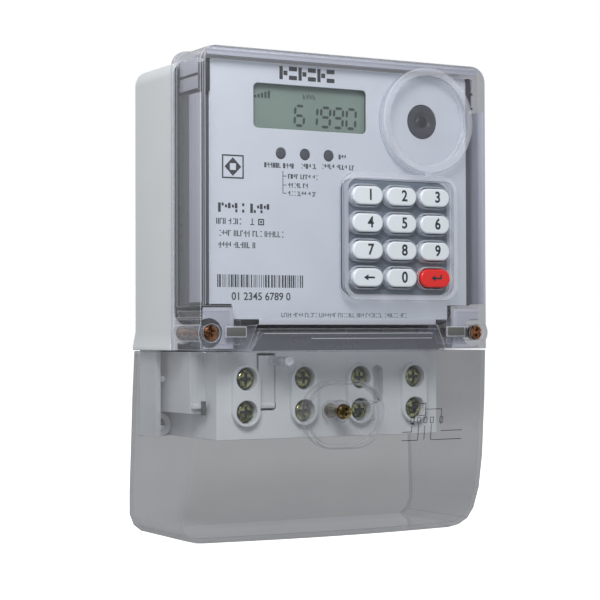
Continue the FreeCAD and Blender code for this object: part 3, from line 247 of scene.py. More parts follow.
def bump(tree, source, depth):
    """Relief from a pattern, depth in millimetres."""
    relief = add_node(tree, "ShaderNodeBump", {"Strength": 1.0, "Distance": depth * MM})
    tree.links.new(source, relief.inputs["Height"])
    return relief.outputs["Normal"]


def shaded(colour, factor):
    """The colour made lighter or darker."""
    return tuple(min(1.0, part * factor) for part in colour)


def moulded(name, colour, rough, grain=(900.0, 0.02), vary=0.05, sockets=None):
    """Moulded plastic, rubber or paint: a fine grain, a slow drift of tone and uneven gloss."""
    paint, tree, output = new_material(name)
    surface = add_node(tree, "ShaderNodeBsdfPrincipled", sockets)
    drift = noise(tree, 28.0, 4.0)
    fine = noise(tree, grain[0], 2.0)
    tree.links.new(ramp(tree, drift, shaded(colour, 1.0 - vary), shaded(colour, 1.0 + vary)),
                   surface.inputs["Base Color"])
    gloss = span(tree, noise(tree, 70.0, 5.0), rough * 0.82, rough * 1.18)
    tree.links.new(gloss, surface.inputs["Roughness"])
    tree.links.new(bump(tree, fine, grain[1]), surface.inputs["Normal"])
    tree.links.new(surface.outputs[0], output.inputs["Surface"])
    return paint


def metal(name, colour, rough, tarnish_and_reflection, stretch=(1.0, 1.0, 1.0), mark=(1400.0, 0.012)):
    """Machined metal with drag marks and second-tone patches: tarnish on parts, painted dark reflection on
    screws.
    """
    paint, tree, output = new_material(name)
    surface = add_node(tree, "ShaderNodeBsdfPrincipled", {"Metallic": 1.0})
    patches = noise(tree, 420.0, 5.0)
    drag = noise(tree, mark[0], 3.0, stretch)
    tree.links.new(ramp(tree, patches, tarnish_and_reflection, colour, 0.42, 0.60), surface.inputs["Base Color"])
    tree.links.new(span(tree, patches, rough * 1.5, rough), surface.inputs["Roughness"])
    tree.links.new(bump(tree, drag, mark[1]), surface.inputs["Normal"])
    tree.links.new(surface.outputs[0], output.inputs["Surface"])
    return paint


def clear(name, tint, milk, haze, rough):
    """Clear moulded plastic: tinted and see-through, milkier where its faces turn away, with a soft gloss."""
    paint, tree, output = new_material(name)
    smear = noise(tree, 45.0, 5.0)
    through = add_node(tree, "ShaderNodeBsdfTransparent")
    tree.links.new(ramp(tree, smear, shaded(tint, 0.985), tint), through.inputs["Color"])
    body = add_node(tree, "ShaderNodeBsdfPrincipled", {"IOR": 1.5})
    tree.links.new(span(tree, smear, rough, rough * 2.5), body.inputs["Roughness"])
    facing = add_node(tree, "ShaderNodeLayerWeight", {"Blend": 0.5})
    tree.links.new(ramp(tree, facing.outputs["Facing"], milk, shaded(milk, EDGE_SHADE), *EDGE_SPAN),
                   body.inputs["Base Color"])
    share = add_node(tree, "ShaderNodeMapRange", {
        "From Min": HAZE_START, "From Max": 1.0, "To Min": haze[0], "To Max": haze[1]},
        interpolation_type="SMOOTHSTEP")
    tree.links.new(facing.outputs["Facing"], share.inputs["Value"])
    filled = add_node(tree, "ShaderNodeMixShader")
    tree.links.new(share.outputs["Result"], filled.inputs["Fac"])
    tree.links.new(through.outputs[0], filled.inputs[1])
    tree.links.new(body.outputs[0], filled.inputs[2])
    gloss = add_node(tree, "ShaderNodeBsdfGlossy", {"Color": (1.0, 1.0, 1.0, 1.0)})
    tree.links.new(span(tree, smear, rough, rough * 2.5), gloss.inputs["Roughness"])
    steep = add_node(tree, "ShaderNodeMath", {1: GLOSS_POWER}, operation="POWER")
    tree.links.new(facing.outputs["Facing"], steep.inputs[0])
    mirror = add_node(tree, "ShaderNodeMapRange", {
        "From Min": 0.0, "From Max": 1.0, "To Min": GLOSS_SQUARE, "To Max": GLOSS_GRAZING})
    tree.links.new(steep.outputs[0], mirror.inputs["Value"])
    surface = add_node(tree, "ShaderNodeMixShader")
    tree.links.new(mirror.outputs["Result"], surface.inputs["Fac"])
    tree.links.new(filled.outputs[0], surface.inputs[1])
    tree.links.new(gloss.outputs[0], surface.inputs[2])
    tree.links.new(surface.outputs[0], output.inputs["Surface"])
    return paint


def circuit(name):
    """Green solder mask over copper tracks."""
    paint, tree, output = new_material(name)
    surface = add_node(tree, "ShaderNodeBsdfPrincipled", {"Coat Weight": 0.4, "Coat Roughness": 0.2})
    cells = add_node(tree, "ShaderNodeTexVoronoi", {"Scale": 260.0}, distance="MANHATTAN", feature="F1")
    tree.links.new(object_place(tree), cells.inputs["Vector"])
    tracks = cells.outputs["Distance"]
    tree.links.new(ramp(tree, tracks, (0.010, 0.105, 0.035), (0.022, 0.190, 0.070), 0.42, 0.46),
                   surface.inputs["Base Color"])
    tree.links.new(span(tree, noise(tree, 200.0, 3.0), 0.3, 0.45), surface.inputs["Roughness"])
    tree.links.new(bump(tree, tracks, 0.03), surface.inputs["Normal"])
    tree.links.new(surface.outputs[0], output.inputs["Surface"])
    return paint


def make_finishes():
    """Every finish of the meter, under the name of its slot."""
    glossy = {"Coat Weight": 0.35, "Coat Roughness": 0.12}
    return {
        "case_grey": moulded("case_grey_abs", (0.66, 0.69, 0.715), 0.42, (1300.0, 0.035), 0.02),
        "clear_cover": clear(
            "clear_cover_pc", (0.965, 0.968, 0.98), (0.66, 0.68, 0.76), (0.015, 0.62), 0.05),
        "seal_rubber": moulded("seal_rubber", (0.035, 0.036, 0.040), 0.7, (900.0, 0.03), 0.12),
        "frame_dark": moulded("frame_dark_abs", (0.072, 0.080, 0.092), 0.5, (1200.0, 0.03), 0.06),
        "plate_print": moulded("plate_print", (0.66, 0.70, 0.755), 0.5, (1800.0, 0.012), 0.015),
        "display": moulded("display_glass", (0.215, 0.29, 0.245), 0.18, (2600.0, 0.004), 0.03, glossy),
        "guide": moulded("guide_acrylic", (0.72, 0.76, 0.74), 0.2, (700.0, 0.01), 0.03, glossy),
        "dark_window": moulded("dark_window", (0.060, 0.064, 0.078), 0.14, (700.0, 0.004), 0.1, glossy),
        "board": circuit("board_mask"),
        "mat_rubber": moulded("mat_rubber", (0.19, 0.235, 0.28), 0.55, (1000.0, 0.03), 0.06),
        "key_white": moulded("key_white_abs", (0.69, 0.74, 0.79), 0.22, (900.0, 0.004), 0.012, glossy),
        "key_red": moulded("key_red_abs", (0.74, 0.022, 0.018), 0.22, (900.0, 0.004), 0.04, glossy),
        "brass_part": metal("brass_part", (0.80, 0.62, 0.30), 0.3, (0.52, 0.38, 0.16), (1.0, 1.0, 0.1)),
        # On the three screws the near-black second tone paints dark reflections.
        "copper_screw": metal(
            "copper_screw", (0.50, 0.24, 0.12), 0.2, (0.05, 0.024, 0.014), (1.0, 0.2, 1.0)),
        "zinc_screw": metal("zinc_screw", (0.60, 0.60, 0.32), 0.15, (0.05, 0.06, 0.022), (1.0, 0.2, 1.0)),
        "brass_screw": metal("brass_screw", (0.50, 0.38, 0.16), 0.2, (0.07, 0.05, 0.02), (1.0, 0.2, 1.0)),
        "steel": metal("steel", (0.62, 0.63, 0.65), 0.28, (0.40, 0.41, 0.43)),
        "copper_bar": metal("copper_bar", (0.80, 0.45, 0.28), 0.3, (0.50, 0.27, 0.16), (1.0, 1.0, 0.1)),
        "part_black": moulded("part_black", (0.022, 0.023, 0.026), 0.42, (1100.0, 0.02), 0.15),
        "part_blue": moulded("part_blue", (0.035, 0.10, 0.33), 0.35, (700.0, 0.01), 0.08),
        "window_dark": moulded("window_dark", (0.115, 0.122, 0.118), 0.4, (900.0, 0.01), 0.1),
        "ink": moulded("print_ink", (0.028, 0.030, 0.036), 0.5, (2400.0, 0.004), 0.12),
        "segment": moulded("display_segment", (0.040, 0.055, 0.055), 0.35, (2400.0, 0.002), 0.1),
        # A lighter, milkier clear plastic that paints bright highlight lines on the main cover's eased edges
        # and front lip, the ribs, the port tab and the pin rings.
        "clear_rim": clear("clear_rim_highlight_pc", (0.90, 0.905, 0.93), (0.78, 0.80, 0.88), (0.34, 0.8), 0.08),
        "clear_milk": clear("clear_milk_pc", (0.85, 0.86, 0.90), (0.58, 0.60, 0.68), (0.7, 0.9), 0.1),
        # A more opaque milk that paints the reflection lines along the terminal cover's eased edges and back
        # rim.
        "lower_rim": clear("lower_rim_reflection_pc", (0.88, 0.885, 0.90), (0.44, 0.46, 0.51), (0.24, 0.7), 0.08),
        "tongue_shade": clear("tongue_shade_pc", (0.50, 0.51, 0.55), (0.16, 0.17, 0.20), (0.55, 0.8), 0.14),
        "lower_cover": clear(
            "lower_cover_pc", (0.965, 0.967, 0.972), (0.56, 0.575, 0.62), (0.012, 0.55), 0.05),
    }


# ---------------------------------------------------------------- modelling helpers

# Points nearer than this, in metres, are one point. Faces within the flat angle are one face, and edges past
# the sharp angle are eased.
DOUBLES = 0.000001
FLAT_ANGLE = 0.6
SHARP_ANGLE = 28.0

# A type size is the height of its capitals over the cap share. Prints have a thickness and a lift off
# the surface behind them.
CAP_SHARE = 0.72
PRINT_SMOOTH = 20.0
PRINT_THICK = 0.03
PRINT_LIFT = 0.01


def deselect_all():
    if bpy.context.mode != "OBJECT":
        bpy.ops.object.mode_set(mode="OBJECT")
    bpy.ops.object.select_all(action="DESELECT")


def pick(*pieces):
    """Only these pieces selected, the last one active."""
    deselect_all()
    for piece in pieces:
        piece.select_set(True)
    bpy.context.view_layer.objects.active = pieces[-1]


def edit(piece):
    """Edit mode with all of the piece selected."""
    pick(piece)
    bpy.ops.object.mode_set(mode="EDIT")
    bpy.ops.mesh.select_all(action="SELECT")


def settle(piece, smooth=35.0):
    """Back to object mode: place in the mesh, doubles merged, faces outward, shading by angle."""
    edit(piece)
    bpy.ops.mesh.remove_doubles(threshold=DOUBLES)
    bpy.ops.mesh.normals_make_consistent(inside=False)
    bpy.ops.object.mode_set(mode="OBJECT")
    bpy.ops.object.transform_apply(location=True, rotation=True, scale=True)
    bpy.ops.object.shade_smooth_by_angle(angle=math.radians(smooth))
    return piece


def finish_piece(piece, finish, body=METER, stands_for=()):
    """Gives the piece its finish, its body and the nodes that it stands for."""
    if not piece.data.materials:
        piece.data.materials.append(None)
    piece.data.materials[0] = FINISHES[finish]
    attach(piece, body)
    if stands_for:
        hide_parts(*stands_for)
    return piece


def select_edges(piece, chosen):
    """Selects the edges whose two ends pass the test, in edit mode."""
    bpy.ops.mesh.select_mode(type="EDGE")
    bpy.ops.mesh.select_all(action="DESELECT")
    bpy.ops.object.mode_set(mode="OBJECT")
    points = piece.data.vertices
    for line in piece.data.edges:
        line.select = chosen(points[line.vertices[0]].co, points[line.vertices[1]].co)
    bpy.ops.object.mode_set(mode="EDIT")


def eased(node, finish, edge, body=METER, segments=2, rim=None, picks_painted_rim=None, smooth=35.0):
    """A copy of a node with its doubles merged, its flat faces whole and its sharp edges eased.
    The eased edges and the faces picked by centre and normal may take a second finish of painted highlight
    lines."""
    piece = bpy.data.objects.new(node + "_piece", NODES[node].data.copy())
    bpy.context.scene.collection.objects.link(piece)
    pick(piece)
    bpy.ops.mesh.customdata_custom_splitnormals_clear()
    edit(piece)
    bpy.ops.mesh.remove_doubles(threshold=2.0 * DOUBLES)
    bpy.ops.mesh.dissolve_limited(angle_limit=math.radians(FLAT_ANGLE))
    bpy.ops.object.mode_set(mode="OBJECT")
    piece.data.materials.clear()
    piece.data.materials.append(FINISHES[finish])
    if rim:
        piece.data.materials.append(FINISHES[rim])
        for face in piece.data.polygons:
            face.material_index = int(picks_painted_rim(face.center / MM, face.normal))
    easing = piece.modifiers.new("easing", "BEVEL")
    easing.width = edge * MM
    easing.segments = segments
    easing.limit_method = "ANGLE"
    easing.angle_limit = math.radians(SHARP_ANGLE)
    easing.use_clamp_overlap = False
    easing.miter_outer = "MITER_ARC"
    if rim:
        easing.material = 1
    bpy.ops.object.modifier_apply(modifier=easing.name)
    bpy.ops.object.shade_smooth_by_angle(angle=math.radians(smooth))
    evened = piece.modifiers.new("evened", "WEIGHTED_NORMAL")
    evened.keep_sharp = True
    bpy.ops.object.modifier_apply(modifier=evened.name)
    return finish_piece(piece, finish, body, (node,))


def turned(name, rings, x=0.0, z=0.0, sides=40):
    """A round part about an axis along the depth, drawn out from its front through rings of radius, depth."""
    deselect_all()
    radius, depth = rings[0]
    bpy.ops.mesh.primitive_circle_add(
        vertices=sides, radius=radius * MM, fill_type="NGON",
        location=(x * MM, -depth * MM, z * MM), rotation=(math.pi / 2.0, 0.0, 0.0))
    piece = bpy.context.object
    piece.name = name
    edit(piece)
    for next_radius, next_depth in rings[1:]:
        back = (depth - next_depth) * MM
        bpy.ops.mesh.extrude_region_move(TRANSFORM_OT_translate={"value": (0.0, back, 0.0)})
        grow = next_radius / radius
        centre = (x * MM, -next_depth * MM, z * MM)
        bpy.ops.transform.resize(value=(grow, 1.0, grow), center_override=centre)
        radius, depth = next_radius, next_depth
    return settle(piece)


def copied(piece, name, shift):
    """A copy with its own mesh, moved by (x, z)."""
    twin = piece.copy()
    twin.data = piece.data.copy()
    twin.name = name
    bpy.context.scene.collection.objects.link(twin)
    twin.data.transform(Matrix.Translation((shift[0] * MM, 0.0, shift[1] * MM)))
    return twin


def stand_up(piece, depth, middle=(0.0, 0.0)):
    """A flat piece drawn on the ground plane is made a mesh and stood up facing the front, at (x, z)."""
    pick(piece)
    bpy.ops.object.convert(target="MESH")
    piece = bpy.context.object
    bpy.ops.object.transform_apply(location=True, rotation=True, scale=True)
    place = Matrix.Translation((middle[0] * MM, -depth * MM, middle[1] * MM))
    piece.data.transform(place @ Matrix.Rotation(math.pi / 2.0, 4, "X"))
    return settle(piece, PRINT_SMOOTH)


def print_marks(name, outlines, depth, thick=PRINT_THICK):
    """Flat marks from closed outlines of (x, z), standing a hair proud of the surface behind them."""
    drawing = bpy.data.curves.new(name, "CURVE")
    drawing.dimensions = "2D"
    drawing.fill_mode = "BOTH"
    drawing.extrude = thick * MM / 2.0
    for outline in outlines:
        line = drawing.splines.new("POLY")
        line.points.add(len(outline) - 1)
        line.use_cyclic_u = True
        for point, (x, z) in zip(line.points, outline):
            point.co = (x * MM, z * MM, 0.0, 1.0)
    piece = bpy.data.objects.new(name, drawing)
    bpy.context.scene.collection.objects.link(piece)
    return stand_up(piece, depth)


def print_figures(name, words, height, middle, depth, width=1.0, weight=0.0):
    """Numerals and units, centred on (x, z), made narrower or wider and bolder."""
    drawing = bpy.data.curves.new(name, "FONT")
    drawing.body = words
    drawing.size = height * MM / CAP_SHARE
    drawing.align_x = "CENTER"
    drawing.align_y = "CENTER"
    drawing.extrude = PRINT_THICK * MM / 2.0
    drawing.offset = weight * MM
    piece = bpy.data.objects.new(name, drawing)
    bpy.context.scene.collection.objects.link(piece)
    piece.scale = (width, 1.0, 1.0)
    return stand_up(piece, depth, middle)


def block(left, right, low, high):
    """A rectangle's outline."""
    return [(left, low), (right, low), (right, high), (left, high)]


def subtract(piece, cutter):
    """Cuts one piece out of another."""
    cut = piece.modifiers.new("cut", "BOOLEAN")
    cut.operation = "DIFFERENCE"
    cut.solver = "EXACT"
    cut.object = cutter
    pick(piece)
    bpy.ops.object.modifier_apply(modifier=cut.name)
    bpy.data.objects.remove(cutter)
    return settle(piece, 32.0)


def slab(name, low, high, edge, segments=2):
    """A moulded bar between two corners, drawn out of a plane and eased all round."""
    size = Vector(high) - Vector(low)
    middle = (Vector(high) + Vector(low)) / 2.0
    deselect_all()
    bpy.ops.mesh.primitive_plane_add(size=1.0, location=Vector((middle.x, low[1], middle.z)) * MM,
                                     rotation=(math.pi / 2.0, 0.0, 0.0))
    piece = bpy.context.object
    piece.name = name
    edit(piece)
    bpy.ops.transform.resize(value=(size.x * MM, 1.0, size.z * MM),
                             center_override=Vector((middle.x, low[1], middle.z)) * MM)
    bpy.ops.mesh.extrude_region_move(TRANSFORM_OT_translate={"value": (0.0, size.y * MM, 0.0)})
    bpy.ops.mesh.select_all(action="SELECT")
    bpy.ops.mesh.bevel(offset=edge * MM, segments=segments)
    bpy.ops.object.mode_set(mode="OBJECT")
    return settle(piece)


# ---------------------------------------------------------------- keys

KEY_SPOTS = [
    ("key_1", "1", 0, 0), ("key_2", "2", 1, 0), ("key_3", "3", 2, 0),
    ("key_4", "4", 0, 1), ("key_5", "5", 1, 1), ("key_6", "6", 2, 1),
    ("key_7", "7", 0, 2), ("key_8", "8", 1, 2), ("key_9", "9", 2, 2),
    ("key_back", "", 0, 3), ("key_0", "0", 1, 3), ("key_enter", "", 2, 3),
]
KEY_PITCH = (15.9, -10.9)

# A key's rounding and the size, place, width and added weight of its numeral. A hair is in metres.
KEY_CORNER_STEPS = 14
KEY_EDGE = 1.25
KEY_EDGE_STEPS = 6
KEY_FIGURE = 4.4
KEY_FIGURE_PLACE = (1.1, 0.05)
KEY_FIGURE_WIDTH = 0.92
KEY_FIGURE_WEIGHT = 0.155
HAIR = 0.00001


def make_keys():
    """Twelve caps with their numerals and arrows, each on its own body."""
    low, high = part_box("key_1")
    middle = (low + high) / 2.0
    deselect_all()
    bpy.ops.mesh.primitive_plane_add(size=1.0, location=(middle.x, low.y, middle.z),
                                     rotation=(math.pi / 2.0, 0.0, 0.0))
    first = bpy.context.object
    first.name = "key_cap"
    edit(first)
    bpy.ops.transform.resize(value=(high.x - low.x, 1.0, high.z - low.z), center_override=middle)
    corner = (high.z - low.z) / 2.0 - 2.0 * HAIR
    bpy.ops.mesh.bevel(offset=corner, segments=KEY_CORNER_STEPS, affect="VERTICES")
    bpy.ops.mesh.remove_doubles(threshold=3.0 * HAIR)
    bpy.ops.mesh.extrude_region_move(TRANSFORM_OT_translate={"value": (0.0, high.y - low.y, 0.0)})
    bpy.ops.object.mode_set(mode="OBJECT")
    settle(first)
    edit(first)
    front = low.y + HAIR
    select_edges(first, lambda a, b: a.y < front and b.y < front)
    bpy.ops.mesh.bevel(offset=KEY_EDGE * MM, segments=KEY_EDGE_STEPS, profile=0.5, clamp_overlap=True)
    bpy.ops.object.mode_set(mode="OBJECT")
    settle(first, 40.0)
    top = -low.y / MM
    for node, figure, column, row in KEY_SPOTS:
        shift = (column * KEY_PITCH[0], row * KEY_PITCH[1])
        finish = "key_red" if node == "key_enter" else "key_white"
        body = node + "_cap"
        cap = copied(first, node + "_cap_piece", shift)
        finish_piece(cap, finish, body, (node,))
        x = middle.x / MM + shift[0]
        z = middle.z / MM + shift[1]
        if figure:
            spot = (x + KEY_FIGURE_PLACE[0], z + KEY_FIGURE_PLACE[1])
            mark = print_figures(node + "_figure", figure, KEY_FIGURE, spot, top,
                                 KEY_FIGURE_WIDTH, KEY_FIGURE_WEIGHT)
        else:
            mark = print_marks(node + "_arrow", [arrow_outline(x, z, node == "key_enter")], top)
        finish_piece(mark, "ink", body)
    bpy.data.objects.remove(first)


def arrow_outline(x, z, hooked):
    """A left arrow, with a small upright at its right end on the enter key."""
    tip, neck, right = x - 2.2, x - 0.1, x + 2.9
    barb, half, rise, wide = 1.25, 0.36, 1.5, 0.7
    outline = [(tip, z), (neck, z + barb), (neck, z + half), (right, z + half)]
    if hooked:
        outline[-1:] = [(right - wide, z + half), (right - wide, z + rise), (right, z + rise)]
    outline += [(right, z - half), (neck, z - half), (neck, z - barb)]
    return outline


# ---------------------------------------------------------------- screws

# The terminal screw's head as radius and distance behind its front, the two bars of its recess as width and
# height, and its thread as crest and root radius.
TERMINAL_HEAD = [
    (0.9, 0.0), (1.8, 0.07), (2.6, 0.26), (3.25, 0.62), (3.7, 1.15), (3.9, 1.8), (3.9, 2.85), (3.75, 3.0),
    (2.6, 3.0),
]
TERMINAL_RECESS = ((4.6, 1.2), (1.2, 4.6))
TERMINAL_RECESS_DEPTH = 2.1
TERMINAL_CREST, TERMINAL_ROOT = 2.95, 2.45

# The seal screw's length from its seat, the length of its thread, its slot and cross slot, and its shank.
SEAL_LENGTHS = {"left": 31.0, "middle": 27.0, "right": 31.0}
SEAL_THREAD = 15.0
SEAL_SLOTS = ((8.0, 0.85), (0.85, 3.2))
SEAL_SLOT_DEPTH = 1.2
SEAL_SHANK = 1.95


def cross_outline(x, z, reach, half):
    """An upright cross about a point."""
    return [(x - reach, z - half), (x - half, z - half), (x - half, z - reach), (x + half, z - reach),
            (x + half, z - half), (x + reach, z - half), (x + reach, z + half), (x + half, z + half),
            (x + half, z + reach), (x - half, z + reach), (x - half, z + half), (x - reach, z + half)]


def cut_slots(screw, slots, x, z, front, depth, edge):
    """Cuts crossed bars, given by width and height, into a screw's front."""
    for wide, tall in slots:
        subtract(screw, slab("slot", (x - wide / 2.0, -front - 1.0, z - tall / 2.0),
                             (x + wide / 2.0, -front + depth, z + tall / 2.0), edge))


def axis_place(node):
    """A round node's axis as x and z, and the depths of its front and of its back."""
    low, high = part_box(node)
    return (low.x + high.x) / 2.0 / MM, (low.z + high.z) / 2.0 / MM, -low.y / MM, -high.y / MM


def make_terminal_screws():
    """Eight clamping screws with a crossed recess, modelled once, and the shade in each recess."""
    x, z, front, tip = axis_place("terminal_screw_1a")
    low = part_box("terminal_screw_1a")[0]
    crest, root = TERMINAL_CREST, TERMINAL_ROOT
    rings = [(radius, front - back) for radius, back in TERMINAL_HEAD]
    depth = front - 3.3
    while depth > tip + 1.2:
        rings += [(crest, depth), (crest, depth - 0.2), (root, depth - 0.5), (root, depth - 0.6)]
        depth -= 0.9
    rings += [(2.4, tip + 0.5), (1.7, tip)]
    screw = turned("terminal_screw", rings, x, z)
    cut_slots(screw, TERMINAL_RECESS, x, z, front, TERMINAL_RECESS_DEPTH, 0.2)
    for number in (1, 2, 3, 4):
        for letter in "ab":
            node = "terminal_screw_%d%s" % (number, letter)
            spot = (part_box(node)[0] - low) / MM
            twin = copied(screw, node + "_piece", (spot.x, spot.z))
            finish_piece(twin, "zinc_screw", node + "_body", (node,))
            cross = cross_outline(x + spot.x, z + spot.z, 2.2, 0.5)
            shade = print_marks(node + "_recess", [cross], front - 1.1, 0.9)
            finish_piece(shade, "part_black", node + "_body")
    bpy.data.objects.remove(screw)


def make_seal_screws():
    """The three sealing screws: slotted cheese heads with a cross slot, long threaded shanks."""
    shank = SEAL_SHANK
    crest, root = shank, shank - 0.35
    for side, length in SEAL_LENGTHS.items():
        node = "seal_screw_" + side
        x, z, front, tip = axis_place(node)
        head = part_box(node)[1].x / MM - x
        seat = tip + length
        rings = [(head - 0.7, front), (head - 0.15, front - 0.25), (head, front - 0.8)]
        rings += [(head, seat + 0.1), (head - 0.1, seat), (shank, seat), (shank - 0.1, seat - 0.2)]
        depth = tip + SEAL_THREAD
        rings.append((shank - 0.1, depth + 0.3))
        while depth > tip + 1.2:
            rings += [(crest, depth), (crest, depth - 0.12), (root, depth - 0.4), (root, depth - 0.46)]
            depth -= 0.8
        rings += [(shank - 0.4, tip + 0.4), (shank - 0.9, tip)]
        screw = turned(node + "_piece", rings, x, z, 32)
        cut_slots(screw, SEAL_SLOTS, x, z, front, SEAL_SLOT_DEPTH, 0.1)
        finish = "brass_screw" if side == "middle" else "copper_screw"
        finish_piece(screw, finish, node + "_body", (node,))


# ---------------------------------------------------------------- name plate prints and display

def mock_words(left, right, low, high, seed, weight=0.19, slim=0.62):
    """A line of plain strokes in letter-sized cells, which says nothing."""
    draw = random.Random(seed)
    tall = high - low
    cell = tall * slim
    stroke = tall * weight
    outlines = []
    x = left
    run = draw.randint(3, 7)
    while x + cell <= right + 0.01:
        if run == 0:
            x += cell * 0.7
            run = draw.randint(3, 7)
            continue
        kind = draw.randint(0, 5)
        end = x + cell * 0.82
        if kind in (0, 1, 4):
            outlines.append(block(x, x + stroke, low, high))
        if kind in (0, 2):
            outlines.append(block(x + stroke * 1.3, end, high - stroke, high))
        if kind in (1, 2, 3):
            outlines.append(block(x + stroke * 1.3, end, low, low + stroke))
        if kind in (3, 5):
            middle = (low + high) / 2.0
            outlines.append(block(end - stroke, end, low + stroke * 1.3, high))
            outlines.append(block(x, end - stroke * 1.3, middle, middle + stroke))
        if kind == 4:
            outlines.append(block(end - stroke, end, low, high))
        x += cell
        run -= 1
    return outlines


SEGMENTS = {
    "a": (0.0, 2.0, 1.0, 2.0), "b": (1.0, 1.0, 1.0, 2.0), "c": (1.0, 0.0, 1.0, 1.0),
    "d": (0.0, 0.0, 1.0, 0.0), "e": (0.0, 0.0, 0.0, 1.0), "f": (0.0, 1.0, 0.0, 2.0),
    "g": (0.0, 1.0, 1.0, 1.0),
}
LIT_SEGMENTS = {"6": "acdefg", "1": "bc", "9": "abcdfg", "0": "abcdef"}


def segment_outline(x0, z0, x1, z1, thick):
    """A bar with pointed ends from one corner to the next."""
    gap = thick * POINTED_SHARE
    half = thick / 2.0
    if x0 == x1:
        low, high = z0 + gap, z1 - gap
        return [(x0, low), (x0 + half, low + half), (x0 + half, high - half),
                (x0, high), (x0 - half, high - half), (x0 - half, low + half)]
    left, right = x0 + gap, x1 - gap
    return [(left, z0), (left + half, z0 - half), (right - half, z0 - half),
            (right, z0), (right - half, z0 + half), (left + half, z0 + half)]


# The display's figures: the first one's left end and foot, size, pitch, and how far they lean.
FIGURE_LEFT, FIGURE_FOOT = -20.4, 49.1
FIGURE_WIDE, FIGURE_HALF_TALL = 4.1, 3.85
FIGURE_PITCH, FIGURE_THICK, FIGURE_LEAN = 5.9, 1.1, 0.06
POINTED_SHARE = 0.4


def display_outlines():
    """Five lit figures and the signal bars of the display."""
    outlines = []
    for place, figure in enumerate("61990"):
        start = FIGURE_LEFT + place * FIGURE_PITCH
        for name in LIT_SEGMENTS[figure]:
            x0, z0, x1, z1 = SEGMENTS[name]
            bar = segment_outline(start + x0 * FIGURE_WIDE, FIGURE_FOOT + z0 * FIGURE_HALF_TALL,
                                  start + x1 * FIGURE_WIDE, FIGURE_FOOT + z1 * FIGURE_HALF_TALL, FIGURE_THICK)
            outlines.append([(x + (z - FIGURE_FOOT) * FIGURE_LEAN, z) for x, z in bar])
    for step in range(5):
        x = -38.3 + step * 1.5
        outlines.append(block(x, x + 1.0, 59.0, 60.0 + step * 0.5))
    return outlines


def make_display():
    """Figures and marks on the display glass."""
    front = -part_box("lcd_glass")[0].y / MM + PRINT_LIFT
    figures = print_marks("display_figures", display_outlines(), front)
    finish_piece(figures, "segment", METER)
    unit = print_figures("display_unit", "kWh", 2.1, (-13.8, 60.5), front, 1.0, 0.03)
    finish_piece(unit, "segment", METER)


# The lines of small marks under and beside the lamps: left, right, low and high.
CAPTIONS = [
    (-35.4, -20.4, 31.6, 33.6), (-19.4, -11.9, 31.8, 33.8), (-10.0, 6.5, 32.1, 34.1), (-2.0, 2.3, 36.2, 38.1),
    (-24.9, -11.3, 27.6, 29.5), (-24.9, -15.0, 24.1, 26.0), (-24.9, -11.4, 20.9, 22.8),
]
CAPTION_WEIGHT = 0.24


def make_plate_prints():
    """The marks printed on the name plate, in black. Places are in millimetres across and up."""
    front = -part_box("name_plate")[0].y / MM + PRINT_LIFT
    draw = random.Random(7)
    title = []
    for step, kind in enumerate("ibibib"):
        x = -28.6 + step * 4.25
        if kind == "i":
            title += [block(x, x + 1.5, 66.4, 71.6), block(x + 1.8, x + 3.6, 68.1, 69.9)]
        else:
            title += [block(x, x + 3.6, 69.9, 71.6), block(x, x + 3.6, 66.4, 68.1)]
    square = [block(-53.7, -44.3, 26.7, 35.9), block(-53.1, -44.9, 27.3, 35.3),
              [(-49.0, 27.7), (-45.4, 31.3), (-49.0, 34.9), (-52.6, 31.3)], block(-50.3, -47.7, 30.0, 32.6)]
    captions = []
    for seed, (left, right, low, high) in enumerate(CAPTIONS, start=11):
        captions += mock_words(left, right, low, high, seed, CAPTION_WEIGHT)
    bracket = [block(-27.3, -27.0, 21.7, 30.6)]
    bracket += [block(-26.95, -25.6, height, height + 0.3) for height in (28.4, 24.9, 21.7)]
    heading = mock_words(-55.4, -31.0, 13.7, 17.3, 18, 0.32, 0.82)
    specs = mock_words(-56.2, -43.0, 9.1, 11.4, 19) + mock_words(-55.4, -25.9, 4.5, 6.8, 20)
    specs += mock_words(-55.4, -37.8, 0.0, 2.3, 21)
    symbols = [block(-38.1, -35.5, 9.0, 11.5), block(-37.6, -36.0, 9.5, 11.0)]
    symbols.append(block(-37.2, -36.4, 9.85, 10.65))
    symbols += [block(-40.9, -40.5, 9.0, 11.6), [(-41.6, 9.0), (-39.8, 9.0), (-39.8, 9.35), (-41.6, 9.35)]]
    foot = mock_words(-28.0, 30.4, -26.6, -24.9, 22, 0.15, 0.66)
    stripes = []
    x = -55.8
    while x < -17.9:
        wide = draw.choice((0.28, 0.28, 0.5, 0.75))
        stripes.append(block(x, x + wide, -15.1, -10.2))
        x += wide + draw.choice((0.3, 0.45, 0.7))
    prints = {
        "title_mark": title, "square_mark": square, "captions": captions, "bracket": bracket,
        "heading_mark": heading, "spec_marks": specs, "symbols": symbols, "foot_marks": foot,
        "stripes": stripes,
    }
    for name, outlines in prints.items():
        finish_piece(print_marks("plate_" + name, outlines, front), "ink", METER)
    row = print_figures("plate_figures", "01 2345 6789 0", 3.0, (-36.8, -18.7), front, 0.98, 0.06)
    finish_piece(row, "ink", METER)


LAMP_PLACES = (-27.95, -17.2, -6.45)
LAMP_HEIGHT = 37.4
LAMP_DOME = [(0.5, 0.34), (1.2, 0.3), (1.75, 0.18), (2.08, 0.0), (2.08, -0.15)]


